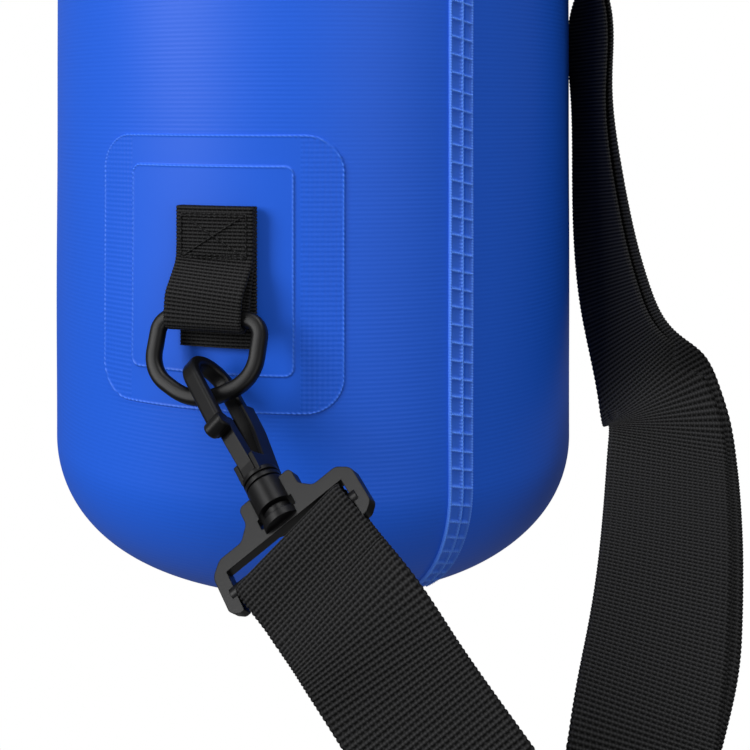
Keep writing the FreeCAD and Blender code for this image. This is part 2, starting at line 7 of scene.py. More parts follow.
import bpy
import numpy as np
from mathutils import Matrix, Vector


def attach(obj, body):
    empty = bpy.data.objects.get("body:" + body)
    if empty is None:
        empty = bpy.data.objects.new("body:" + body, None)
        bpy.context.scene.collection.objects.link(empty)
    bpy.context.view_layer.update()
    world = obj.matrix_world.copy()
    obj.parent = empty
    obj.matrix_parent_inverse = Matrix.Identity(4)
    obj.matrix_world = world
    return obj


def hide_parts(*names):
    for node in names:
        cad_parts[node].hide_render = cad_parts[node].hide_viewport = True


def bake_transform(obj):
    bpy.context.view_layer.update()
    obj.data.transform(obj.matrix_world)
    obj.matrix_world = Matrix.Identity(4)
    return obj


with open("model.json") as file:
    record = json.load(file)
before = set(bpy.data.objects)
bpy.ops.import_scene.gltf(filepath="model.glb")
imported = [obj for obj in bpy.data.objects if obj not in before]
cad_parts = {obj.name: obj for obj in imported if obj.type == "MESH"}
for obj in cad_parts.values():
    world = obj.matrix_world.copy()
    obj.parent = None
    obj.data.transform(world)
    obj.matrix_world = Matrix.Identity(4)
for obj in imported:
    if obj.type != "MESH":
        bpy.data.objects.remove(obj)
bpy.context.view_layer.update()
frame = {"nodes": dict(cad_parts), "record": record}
LOG = logging.getLogger("dry_bag")
TAU = 2.0 * math.pi


class Edge(Enum):
    """How the ends of a swept piece are shut."""

    CAPPED = "capped"
    JOINED = "joined"


class Worked(Enum):
    """How the surface of the coated fabric is worked."""

    THREADED = "threads show through"
    # Pressed and embossed pieces carry painted highlight: their raised crests are coloured lighter.
    PRESSED = "pressed, with painted crest highlights"
    EMBOSSED = "embossed side bands, with painted crest highlights"


# ---- curves and surfaces ----
def unit(vectors: np.ndarray) -> np.ndarray:
    """Vectors scaled to length one along their last axis."""
    return vectors / np.maximum(np.linalg.norm(vectors, axis=-1, keepdims=True), 1e-12)


def smooth(t: np.ndarray) -> np.ndarray:
    """Smooth step of t from 0 to 1."""
    t = np.clip(t, 0.0, 1.0)
    return t * t * (3.0 - 2.0 * t)


def bell(distance: np.ndarray, width: float) -> np.ndarray:
    """A ridge one high: exp(-(distance / width)^2)."""
    return np.exp(-((distance / width) ** 2))


def lengths(points: np.ndarray) -> np.ndarray:
    """Distance along a polyline up to each of its points."""
    steps = np.linalg.norm(np.diff(points, axis=0), axis=1)
    return np.concatenate([[0.0], np.cumsum(steps)])


def spline(points: np.ndarray, knots: np.ndarray, at: np.ndarray) -> np.ndarray:
    """Natural cubic spline through the points.

    Args:
        points: places that the curve goes through, one a row.
        knots: the parameter at each place.
        at: parameters to find places for.

    Returns:
        One place a row, for each parameter.
    """
    gap = np.diff(knots)
    count = len(knots)
    system = np.eye(count)
    right = np.zeros_like(points)
    inner = np.arange(1, count - 1)
    system[inner, inner - 1] = gap[:-1]
    system[inner, inner] = 2.0 * (gap[:-1] + gap[1:])
    system[inner, inner + 1] = gap[1:]
    slope = np.diff(points, axis=0) / gap[:, None]
    right[1:-1] = 6.0 * np.diff(slope, axis=0)
    bend = np.linalg.solve(system, right)
    i = np.clip(np.searchsorted(knots, at, side="right") - 1, 0, count - 2)
    h = gap[i][:, None]
    b = (at - knots[i])[:, None] / h
    a = 1.0 - b
    cubic = (a**3 - a) * bend[i] + (b**3 - b) * bend[i + 1]
    return a * points[i] + b * points[i + 1] + cubic * h**2 / 6.0


def rounded_path(points: list, radii: list, step: float, closed: bool = False) -> np.ndarray:
    """A polyline with rounded corners, sampled at even steps.

    Args:
        points: the corners, in two or three dimensions, in metres.
        radii: radius of each corner; the two ends are left out of an open path.
        step: distance between samples.
        closed: whether the last corner joins the first.

    Returns:
        The samples, one a row; a closed path doesn't repeat its first one.
    """
    corners = np.array(points, float)
    count = len(corners)
    order = range(count) if closed else range(1, count - 1)
    out = [] if closed else [corners[0]]
    for radius, i in zip(radii, order):
        here = corners[i]
        back = unit(corners[i - 1] - here)
        ahead = unit(corners[(i + 1) % count] - here)
        half = 0.5 * math.acos(float(np.clip(back @ ahead, -1.0, 1.0)))
        reach = radius / math.tan(half)
        centre = here + unit(back + ahead) * radius / math.sin(half)
        first, last = here + back * reach - centre, here + ahead * reach - centre
        turn = math.pi - 2.0 * half
        for t in np.linspace(0.0, 1.0, 24):
            mix = math.sin((1.0 - t) * turn) * first + math.sin(t * turn) * last
            out.append(centre + mix / math.sin(turn))
    out.append(out[0] if closed else corners[-1])
    dense = np.array(out)
    along = lengths(dense)
    samples = max(8, int(round(along[-1] / step)))
    at = np.linspace(0.0, along[-1], samples + 1)[: samples if closed else None]
    return np.stack([np.interp(at, along, dense[:, k]) for k in range(dense.shape[1])], axis=1)


def surface(name: str, points: np.ndarray, uv: np.ndarray, wrap: tuple, caps: bool = False,
            flip: bool = False) -> bpy.types.Object:
    """A mesh from a grid of points.

    Args:
        name: the piece's name.
        points: rows by columns by three, in metres.
        uv: rows by columns by two, one more of each where the grid wraps.
        wrap: whether rows and columns join end to start.
        caps: whether the first and last row are filled.
        flip: whether faces are turned over.

    Returns:
        The piece, smooth shaded, with its UV map in metres.
    """
    rows, columns = points.shape[:2]
    i, j = np.meshgrid(np.arange(rows - 1 + wrap[0]), np.arange(columns - 1 + wrap[1]), indexing="ij")
    corner = [(i, j), (i + 1, j), (i + 1, j + 1), (i, j + 1)]
    if flip:
        corner = corner[::-1]
    quads = np.stack([(r % rows) * columns + c % columns for r, c in corner], -1).reshape(-1, 4)
    quad_uv = np.stack([uv[r, c] for r, c in corner], -2).reshape(-1, 2)
    loops, starts, totals = [quads.ravel()], [np.arange(len(quads)) * 4], [np.full(len(quads), 4)]
    if caps:
        low = np.arange(columns) if not flip else np.arange(columns)[::-1]
        high = (rows - 1) * columns + low[::-1]
        at = len(quads) * 4
        loops += [low, high]
        starts.append(np.array([at, at + columns]))
        totals.append(np.array([columns, columns]))
        quad_uv = np.concatenate([quad_uv, np.repeat(uv[:1, :1].reshape(1, 2), 2 * columns, 0)])
    loop, start, total = (np.concatenate(part).astype(np.int32) for part in (loops, starts, totals))
    mesh = bpy.data.meshes.new(name)
    mesh.vertices.add(rows * columns)
    mesh.vertices.foreach_set("co", points.reshape(-1).astype(np.float32))
    mesh.loops.add(len(loop))
    mesh.loops.foreach_set("vertex_index", loop)
    mesh.polygons.add(len(start))
    mesh.polygons.foreach_set("loop_start", start)
    mesh.polygons.foreach_set("loop_total", total)
    mesh.update(calc_edges=True)
    mesh.polygons.foreach_set("use_smooth", np.ones(len(start), bool))
    layer = mesh.uv_layers.new(name="UVMap")
    layer.data.foreach_set("uv", quad_uv.reshape(-1).astype(np.float32))
    mesh.validate()
    piece = bpy.data.objects.new(name, mesh)
    bpy.context.scene.collection.objects.link(piece)
    return piece


def sweep(name: str, places: np.ndarray, across: np.ndarray, up: np.ndarray, section: np.ndarray,
          ends: Edge = Edge.CAPPED) -> bpy.types.Object:
    """A section carried along a path: point = place + across times x + up times y.

    Args:
        name: the piece's name.
        places: centre of each section.
        across: direction of the section's x at each place.
        up: direction of the section's y at each place.
        section: the section's outline, anticlockwise, by place or the same for all.
        ends: how the ends are shut.

    Returns:
        The piece.
    """
    section = np.broadcast_to(section, (len(places),) + section.shape[-2:])
    points = places[:, None] + across[:, None] * section[..., :1] + up[:, None] * section[..., 1:]
    along = lengths(places)
    joined = ends is Edge.JOINED
    if joined:
        along = np.append(along, along[-1] + np.linalg.norm(places[0] - places[-1]))
    around = lengths(np.concatenate([section[0], section[0, :1]]))
    uv = np.stack(np.broadcast_arrays(around[None, :], along[:, None]), -1)
    forward = np.cross(across[0], up[0]) @ (places[1] - places[0])
    return surface(name, points, uv, (joined, True), ends is Edge.CAPPED, flip=forward > 0)


def frames(places: np.ndarray, across: np.ndarray, closed: bool = False) -> tuple:
    """Directions along a path.

    Args:
        places: the path.
        across: a direction that lies across it, one or one a place.
        closed: whether the path joins its start.

    Returns:
        (across, up) with up square to the path.
    """
    if closed:
        tangent = np.roll(places, -1, 0) - np.roll(places, 1, 0)
    else:
        tangent = np.gradient(places, axis=0)
    tangent = unit(tangent)
    across = np.broadcast_to(across, places.shape)
    across = unit(across - tangent * np.sum(across * tangent, 1)[:, None])
    return across, np.cross(tangent, across)


def oval(half_x: float, half_y: float, power: float, count: int) -> np.ndarray:
    """A rounded-box outline: |x/a|^p + |y/b|^p = 1.

    Args:
        half_x: a.
        half_y: b.
        power: p, 2 for an ellipse and more for squarer sides.
        count: points round the outline.

    Returns:
        The points, anticlockwise, one a row.
    """
    angle = np.linspace(0.0, TAU, count, endpoint=False)
    c, s = np.cos(angle), np.sin(angle)
    x = np.sign(c) * np.abs(c) ** (2.0 / power) * half_x
    y = np.sign(s) * np.abs(s) ** (2.0 / power) * half_y
    return np.stack([x, y], 1)


# ---- finishes ----
def shader(name: str, colour: tuple, roughness: float, **sockets: float) -> tuple:
    """A principled material.

    Args:
        name: the material's name.
        colour: base colour, linear.
        roughness: roughness.
        **sockets: other sockets of the shader, with spaces as underscores.

    Returns:
        (material, its node tree, its shader node).
    """
    material = bpy.data.materials.new(name)
    material.use_nodes = True
    tree = material.node_tree
    node = tree.nodes["Principled BSDF"]
    node.inputs["Base Color"].default_value = (*colour, 1.0)
    node.inputs["Roughness"].default_value = roughness
    for key, value in sockets.items():
        node.inputs[key.replace("_", " ")].default_value = value
    return material, tree, node


def math_node(tree: bpy.types.NodeTree, kind: str, *values: object) -> bpy.types.NodeSocket:
    """A math node.

    Args:
        tree: the material's nodes.
        kind: the operation.
        *values: sockets or numbers that it works on.

    Returns:
        The socket of its result.
    """
    node = tree.nodes.new("ShaderNodeMath")
    node.operation = kind
    for socket, value in zip(node.inputs, values):
        if isinstance(value, bpy.types.NodeSocket):
            tree.links.new(value, socket)
        else:
            socket.default_value = value
    return node.outputs[0]


def sine_of(tree: bpy.types.NodeTree, value: bpy.types.NodeSocket, rate: float) -> bpy.types.NodeSocket:
    """The socket of sin(rate times value)."""
    return math_node(tree, "SINE", math_node(tree, "MULTIPLY", value, rate))


def coordinates(tree: bpy.types.NodeTree, kind: str) -> bpy.types.NodeSocket:
    """The socket of the piece's Object or UV coordinates."""
    return tree.nodes.new("ShaderNodeTexCoord").outputs[kind]


def axes(tree: bpy.types.NodeTree, vector: bpy.types.NodeSocket) -> bpy.types.NodeOutputs:
    """A vector's three numbers as sockets."""
    split = tree.nodes.new("ShaderNodeSeparateXYZ")
    tree.links.new(vector, split.inputs[0])
    return split.outputs


def noise(tree: bpy.types.NodeTree, coords: bpy.types.NodeSocket, scale: float) -> bpy.types.NodeSocket:
    """A soft noise.

    Args:
        tree: the material's nodes.
        coords: the coordinates that it reads.
        scale: features a metre.

    Returns:
        The socket of its value.
    """
    texture = tree.nodes.new("ShaderNodeTexNoise")
    texture.inputs["Scale"].default_value = scale
    tree.links.new(coords, texture.inputs["Vector"])
    return texture.outputs[0]


def two_tone(tree: bpy.types.NodeTree, node: bpy.types.Node, factor: bpy.types.NodeSocket,
             low: tuple, high: tuple) -> None:
    """Colours a shader between two tones.

    Args:
        tree: the material's nodes.
        node: the shader.
        factor: 0 for the low tone to 1 for the high one.
        low: the first colour, linear.
        high: the second colour, linear.
    """
    ramp = tree.nodes.new("ShaderNodeValToRGB")
    for stop, shade in zip(ramp.color_ramp.elements, (low, high)):
        stop.color = (*shade, 1.0)
    tree.links.new(factor, ramp.inputs[0])
    tree.links.new(ramp.outputs[0], node.inputs["Base Color"])


def mark_painted_light(piece: bpy.types.Object, height: np.ndarray) -> None:
    """Keeps how proud each point stands, 0 to 1, as the attribute that lightens raised crests with painted
    highlight.
    """
    layer = piece.data.attributes.new("painted_light", "FLOAT", "POINT")
    layer.data.foreach_set("value", np.clip(height, 0.0, 1.0).reshape(-1).astype(np.float32))


def add_bump(tree: bpy.types.NodeTree, node: bpy.types.Node, height: bpy.types.NodeSocket,
             distance: float, strength: float = 1.0) -> bpy.types.Node:
    """Bumps a shader's normal.

    Args:
        tree: the material's nodes.
        node: the shader.
        height: height in the range 0 to 1.
        distance: what a height of 1 stands for, in metres.
        strength: strength of the effect.

    Returns:
        The bump node.
    """
    bump = tree.nodes.new("ShaderNodeBump")
    bump.inputs["Distance"].default_value = distance
    bump.inputs["Strength"].default_value = strength
    tree.links.new(height, bump.inputs["Height"])
    tree.links.new(bump.outputs["Normal"], node.inputs["Normal"])
    return bump


@dataclass(frozen=True)
class CoatedFabric:
    """Satin PVC-coated cloth."""

    colour: tuple = (0.009, 0.106, 0.69)
    # A lighter blue painted onto raised crests as highlight, not a colour of the cloth.
    crest_highlight: tuple = (0.11, 0.30, 0.95)
    roughness: float = 0.5
    gloss: float = 0.3
    grain_scale: float = 900.0
    grain_share: float = 0.35
    patch_scale: float = 45.0
    thread_pitch: float = 0.0014
    thread_depth: float = 0.000022
    emboss_pitch: float = 0.0030
    emboss_depth: float = 0.00005

    def make(self, name: str, worked: Worked, side: float = 0.0) -> bpy.types.Material:
        """The material.

        Args:
            name: the material's name.
            worked: how the surface is worked.
            side: distance from the UV map's middle at which an embossed band starts.

        Returns:
            The material.
        """
        material, tree, node = shader(name, self.colour, self.roughness, Specular_IOR_Level=self.gloss)
        if worked is not Worked.THREADED:
            # Painted highlight: this attribute blends raised crests towards the lighter highlight colour.
            painted_light = tree.nodes.new("ShaderNodeAttribute")
            painted_light.attribute_name = "painted_light"
            two_tone(tree, node, painted_light.outputs["Fac"], self.colour, self.crest_highlight)
        if worked is Worked.EMBOSSED:
            add_bump(tree, node, self.emboss(tree, side), self.emboss_depth)
            return material
        coords = coordinates(tree, "Object")
        height = math_node(tree, "MULTIPLY", noise(tree, coords, self.grain_scale), self.grain_share)
        if worked is Worked.THREADED:
            threads = sine_of(tree, axes(tree, coords)[2], TAU / self.thread_pitch)
            threads = math_node(tree, "MULTIPLY", threads, noise(tree, coords, self.patch_scale))
            height = math_node(tree, "ADD", height, threads)
        add_bump(tree, node, height, self.thread_depth)
        return material

    def emboss(self, tree: bpy.types.NodeTree, side: float) -> bpy.types.NodeSocket:
        """Diamonds: the product of two slanting sines.

        Args:
            tree: the material's nodes.
            side: distance from the middle beyond which they show.

        Returns:
            The socket of their height.
        """
        u, v = axes(tree, coordinates(tree, "UV"))[:2]
        waves = [sine_of(tree, math_node(tree, kind, u, v), TAU / self.emboss_pitch)
                 for kind in ("ADD", "SUBTRACT")]
        band = math_node(tree, "GREATER_THAN", math_node(tree, "ABSOLUTE", u), side)
        return math_node(tree, "MULTIPLY", math_node(tree, "MULTIPLY", *waves), band)


@dataclass(frozen=True)
class Webbing:
    """Black ribbed polyester; the fine yarns run across its ribs."""

    # Tones of painted light: the crown tone is painted highlight on the ribs, the groove tone painted shade
    # between them.
    crown_highlight: float = 0.034
    groove: float = 0.0004
    blue_tint: float = 1.03
    roughness: float = 0.75
    gloss: float = 0.1
    yarn_pitch: float = 0.0009
    yarn_share: float = 0.2
    yarn_depth: float = 0.00006
    warp_pitch: float = 0.0016
    warp_share: float = 0.5
    rib_power: float = 2.4
    warp_power: float = 5.0

    def make(self, name: str, pitch: float) -> bpy.types.Material:
        """The material: painted highlight on the ribs' crowns and on lines along the warp, painted shade
        between.

        Args:
            name: the material's name.
            pitch: rib to rib, along the UV map's second axis.

        Returns:
            The material, with yarns staggered from rib to rib.
        """
        material, tree, node = shader(name, (self.crown_highlight,) * 3, self.roughness, Specular_IOR_Level=self.gloss)
        u, v = axes(tree, coordinates(tree, "UV"))[:2]
        ribs = math_node(tree, "DIVIDE", v, pitch)
        stagger = math_node(tree, "MULTIPLY", math_node(tree, "FLOOR", ribs), 0.5)
        yarns = math_node(tree, "ADD", math_node(tree, "DIVIDE", u, self.yarn_pitch), stagger)
        yarn = sine_of(tree, yarns, TAU)
        rib = math_node(tree, "ABSOLUTE", sine_of(tree, ribs, math.pi))
        warp = math_node(tree, "ABSOLUTE", sine_of(tree, u, math.pi / self.warp_pitch))
        warp = math_node(tree, "MULTIPLY", math_node(tree, "POWER", warp, self.warp_power), self.warp_share)
        light = math_node(tree, "MAXIMUM", math_node(tree, "POWER", rib, self.rib_power), warp)
        # Painted highlight on each yarn: the yarn wave lightens and darkens the tone.
        shading = math_node(tree, "MULTIPLY_ADD", yarn, self.yarn_share, 1.0 - self.yarn_share)
        light = math_node(tree, "MULTIPLY", light, shading)
        tones = [(shade, shade, shade * self.blue_tint) for shade in (self.groove, self.crown_highlight)]
        two_tone(tree, node, light, *tones)
        add_bump(tree, node, yarn, self.yarn_depth, 0.5)
        return material


@dataclass(frozen=True)
class MouldedPlastic:
    """Satin black acetal with a fine moulding grain."""

    colour: tuple = (0.0035, 0.0035, 0.004)
    roughness: float = 0.4
    gloss: float = 0.22
    edge_radius: float = 0.00035
    grain_scale: float = 1400.0
    grain_depth: float = 0.00002

    def make(self, name: str) -> bpy.types.Material:
        """The material, whose shading rounds sharp edges a little.

        Args:
            name: the material's name.

        Returns:
            The material.
        """
        material, tree, node = shader(name, self.colour, self.roughness, Specular_IOR_Level=self.gloss)
        grain = noise(tree, coordinates(tree, "Object"), self.grain_scale)
        bump = add_bump(tree, node, grain, self.grain_depth, 0.6)
        soft_edge = tree.nodes.new("ShaderNodeBevel")
        soft_edge.samples = 6
        soft_edge.inputs["Radius"].default_value = self.edge_radius
        tree.links.new(soft_edge.outputs[0], bump.inputs["Normal"])
        return material


def dress(piece: bpy.types.Object, material: bpy.types.Material, body: str) -> None:
    """Finishes a piece and fixes it to its body.

    Args:
        piece: the piece.
        material: its finish.
        body: the body that it rides on.
    """
    piece.data.materials.clear()
    piece.data.materials.append(material)
    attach(piece, body)
    LOG.info("%s: %d faces on %s", piece.name, len(piece.data.polygons), body)


# ---- the bag ----
@dataclass
class BagBody:
    """The coated skin: round tube, rounded bottom and the neck that flattens into the roll."""

    radius: float = 0.095
    shoulder_z: float = -0.229
    corner_z: float = -0.404
    base_z: float = -0.449
    flat_radius: float = 0.045
    roll_z: float = -0.096
    roll_half: float = 0.105
    roll_corner: float = 0.045
    roll_end_z: float = -0.033
    roll_thickness: float = 0.016
    roll_width: float = 0.038
    roll_rows: int = 210
    roll_line_samples: int = 401
    neck_half_depth: float = 0.012
    neck_bulge: float = 0.012
    pleat_depth: float = 0.0016
    pleats: float = 14.0
    slack_height: float = 0.00022
    weld_azimuth: float = math.radians(47.8)
    weld_half: float = 0.0047
    cell_pitch: float = 0.0056
    cell_slant: float = 0.0011
    weld_base: float = 0.0002
    weld_relief: float = 0.0011
    bead_pitch: float = 0.00085
    ridge_pitch: float = 0.0011
    line_width: float = 0.10
    rung_width: float = 0.00042
    rung_pitch: float = 0.0009
    fabric: CoatedFabric = field(default_factory=CoatedFabric)

    def roll_line(self, samples: int) -> np.ndarray:
        """The roll's middle line from end to end.

        Args:
            samples: how many places to return.

        Returns:
            Evenly spaced places, as x and z.
        """
        half, low, end = self.roll_half, self.roll_z, self.roll_end_z
        corners = [(-half, end), (-half, low), (half, low), (half, end)]
        dense = rounded_path(corners, [self.roll_corner] * 2, 0.001)
        along = lengths(dense)
        at = np.linspace(0.0, along[-1], samples)
        return np.stack([np.interp(at, along, dense[:, k]) for k in (0, 1)], 1)

    def skin(self, azimuth: np.ndarray, v: np.ndarray) -> np.ndarray:
        """Places on the skin.

        The bottom is a quarter ellipse from the flat base to the tube. Above the shoulder each
        thread of the tube runs to its own place along the roll's underside.

        Args:
            azimuth: angle from -Y towards +X.
            v: 0 at the base's middle, 1 to 2 round the bottom's corner, 3 at the shoulder and
                4 at the roll.

        Returns:
            Places, with the azimuth's and v's shape and three numbers each.
        """
        azimuth, v = np.broadcast_arrays(azimuth, v)
        turn = np.clip(v - 1.0, 0.0, 1.0) * math.pi / 2.0
        radius = np.where(v < 1.0, v * self.flat_radius,
                          self.flat_radius + (self.radius - self.flat_radius) * np.sin(turn))
        z = np.where(v < 2.0, self.corner_z + (self.base_z - self.corner_z) * np.cos(turn),
                     self.corner_z + (self.shoulder_z - self.corner_z) * np.clip(v - 2.0, 0.0, 1.0))
        tube = np.stack([radius * np.sin(azimuth), -radius * np.cos(azimuth), z], -1)
        fold = np.arcsin(np.clip(np.sin(azimuth), -1.0, 1.0)) / (math.pi / 2.0)
        line = self.roll_line(self.roll_line_samples)
        slope = unit(np.gradient(line, axis=0))
        steps = np.arange(self.roll_line_samples)
        at = (fold + 1.0) / 2.0 * steps[-1]
        x, up, run_x, run_z = (np.interp(at, steps, part) for part in
                               (line[:, 0], line[:, 1], slope[:, 0], slope[:, 1]))
        below = self.roll_thickness / 2.0 - 0.001
        depth = self.neck_half_depth * np.sqrt(np.clip(1.0 - np.abs(fold) ** 6, 0, 1))
        front = -np.sign(np.cos(azimuth)) * depth
        top = np.stack([x + run_z * below, front, up - run_x * below], -1)
        t = np.clip(v - 3.0, 0.0, 1.0)
        ease = smooth(t)[..., None]
        rise = np.sin(math.pi * t)
        bulge = (rise * self.neck_bulge * np.cos(azimuth) ** 2)[..., None]
        outward = np.stack([np.sin(azimuth), -np.cos(azimuth), np.zeros_like(azimuth)], -1)
        mixed = tube * (1.0 - ease) + top * ease
        mixed[..., 2] = tube[..., 2] * (1.0 - t) + top[..., 2] * t
        pleats = np.sin(azimuth * self.pleats + 1.3 * np.sin(azimuth * 3.0)) * rise**2
        mixed = mixed + outward * (bulge + self.pleat_depth * (pleats * t)[..., None])
        return np.where((v > 3.0)[..., None], mixed, tube)

    def slack(self, azimuth: np.ndarray, z: np.ndarray) -> np.ndarray:
        """Soft unevenness of the filled skin: the sum of three long waves.

        Args:
            azimuth: angle from -Y towards +X.
            z: height.

        Returns:
            Height above the plain shape, in metres.
        """
        waves = (np.sin(2.0 * azimuth + 21.0 * z) + 0.6 * np.sin(5.0 * azimuth - 38.0 * z + 1.0)
                 + 0.4 * np.sin(9.0 * azimuth + 63.0 * z + 2.0))
        fade = smooth((z - self.base_z) / 0.03)
        return self.slack_height * waves * fade

    def place(self, azimuth: np.ndarray, v: np.ndarray, lift: np.ndarray) -> np.ndarray:
        """Places on or above the skin.

        Args:
            azimuth: angle from -Y towards +X.
            v: as for the skin.
            lift: how far outward each place is raised, in metres.

        Returns:
            Places, with three numbers each.
        """
        step = 1e-4
        here = self.skin(azimuth, v)
        normal = unit(np.cross(self.skin(azimuth + step, v) - here, self.skin(azimuth, v + step) - here))
        return here + normal * (lift + self.slack(azimuth, here[..., 2]))[..., None]

    def build(self) -> None:
        """The skin, base disc, side weld and roll."""
        material = self.fabric.make("coated fabric", Worked.THREADED)
        azimuth = np.linspace(0.0, TAU, 360, endpoint=False)[None, :]
        v = np.concatenate([np.linspace(0.02, 1.0, 10)[:-1], np.linspace(1.0, 2.0, 60)[:-1],
                            np.linspace(2.0, 3.0, 60)[:-1], np.linspace(3.0, 4.0, 120)])[:, None]
        points = self.place(azimuth, v, np.zeros(np.broadcast_shapes(azimuth.shape, v.shape)))
        around = np.linspace(0.0, TAU * self.radius, 361)[None, :]
        uv = np.stack(np.broadcast_arrays(around, v * 0.15), -1)
        skin = surface("bag_skin", points, uv, (False, True), caps=True, flip=True)
        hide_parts("bag_wall")
        dress(skin, material, "bag")
        self.build_base(material)
        self.build_weld()
        self.build_roll(material)

    def build_base(self, material: bpy.types.Material) -> None:
        """The round panel under the bottom: a thin disc with a shallow groove near its rim.

        Args:
            material: its finish.
        """
        edge, groove, thickness = 0.0445, 0.041, 0.0011
        radius = np.concatenate([np.linspace(0.0005, 0.039, 30), np.linspace(0.0395, edge, 22)])
        rim = bell(radius - groove, 0.0012) * 0.0003
        drop = thickness * np.clip((edge - radius) / 0.001, 0.0, 1.0) ** 0.5 - rim
        angle = np.linspace(0.0, TAU, 180, endpoint=False)
        x = radius[:, None] * np.sin(angle)
        y = -radius[:, None] * np.cos(angle)
        z = np.broadcast_to((self.base_z - drop)[:, None], x.shape)
        uv = np.stack(np.broadcast_arrays(radius[:, None], np.linspace(0.0, 0.3, 181)[None, :]), -1)
        disc = surface("base_panel", np.stack([x, y, z], -1), uv, (False, True), caps=True, flip=True)
        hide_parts("base_disc")
        dress(disc, material, "bag")

    def build_weld(self) -> None:
        """The lap weld: two columns of pressed cells between raised edges.

        Height = edge beads + centre ridge + rungs, each a narrow bump across the strip.
        """
        v = np.concatenate([np.linspace(1.35, 2.0, 150)[:-1], np.linspace(2.0, 3.0, 640)[:-1],
                            np.linspace(3.0, 3.96, 420)])
        centre = self.skin(np.full_like(v, self.weld_azimuth), v)
        along = lengths(centre)[:, None]
        x = np.linspace(-1.0, 1.0, 66)[None, :]
        slant = self.cell_slant * x
        rung = np.abs(((along + slant) / self.cell_pitch) % 1.0 - 0.5) * self.cell_pitch
        beads = 0.75 + 0.25 * np.sin(TAU * along / self.bead_pitch)
        waver = 0.035 * np.sin(TAU * along / self.ridge_pitch)
        ridge = bell(x - 0.06 + waver, self.line_width)
        edges = bell(np.abs(x) - 0.86, self.line_width) * beads
        rungs = bell(rung, self.rung_width) * np.clip((0.9 - np.abs(x)) / 0.1, 0.0, 1.0)
        rungs = rungs * (0.8 + 0.2 * np.sin(TAU * x * self.weld_half / self.rung_pitch))
        proud = np.maximum(np.maximum(edges, ridge * 0.9), rungs)
        height = self.weld_base + self.weld_relief * proud
        height = height - 0.0012 * smooth((np.abs(x) - 0.93) / 0.07)
        azimuth = self.weld_azimuth + x * self.weld_half / self.radius
        points = self.place(np.broadcast_to(azimuth, height.shape),
                            np.broadcast_to(v[:, None], height.shape), height)
        uv = np.stack(np.broadcast_arrays(x * self.weld_half, along), -1)
        strip = surface("side_weld_strip", points, uv, (False, False), flip=True)
        # Painted light: raised edges, ridge and rungs are coloured lighter as painted highlight, and a band
        # in the cells beside the centre ridge darker as painted shade.
        shade_side = bell(x - 0.28, self.line_width) * (1.0 - rungs)
        mark_painted_light(strip, 0.25 + 0.75 * proud - 0.35 * shade_side)
        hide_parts("side_weld")
        dress(strip, self.fabric.make("weld strip", Worked.PRESSED), "bag")

    def build_roll(self, material: bpy.types.Material) -> None:
        """The mouth rolled up: a flat spiral of cloth carried along the bent roll.

        Args:
            material: its finish.
        """
        line = self.roll_line(self.roll_rows)
        places = np.stack([line[:, 0], np.zeros(self.roll_rows), line[:, 1]], 1)
        across, up = frames(places, np.array([0.0, 1.0, 0.0]))
        layers, gap, cloth, squareness = 3.0, 0.0021, 0.0012, 3.2
        turn = np.linspace(0.0, layers * TAU, 190)
        half_x = self.roll_width / 2.0 - cloth - gap * (layers - turn / TAU)
        half_y = self.roll_thickness / 2.0 - cloth - gap * (layers - turn / TAU)
        power = 2.0 / squareness
        c, s = np.cos(turn), np.sin(turn)
        middle = np.stack([np.sign(c) * np.abs(c) ** power * half_x,
                           np.sign(s) * np.abs(s) ** power * np.maximum(half_y, 0.0006)], 1)
        tangent = unit(np.gradient(middle, axis=0))
        normal = np.stack([tangent[:, 1], -tangent[:, 0]], 1)
        outline = np.concatenate([middle + normal * 0.0009, (middle - normal * 0.0007)[::-1]])
        wobble = 1.0 + 0.012 * np.sin(np.linspace(0.0, 40.0, self.roll_rows))[:, None, None]
        roll = sweep("rolled_mouth", places, across, up, outline[None] * wobble)
        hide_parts("roll_closure")
        dress(roll, material, "bag")


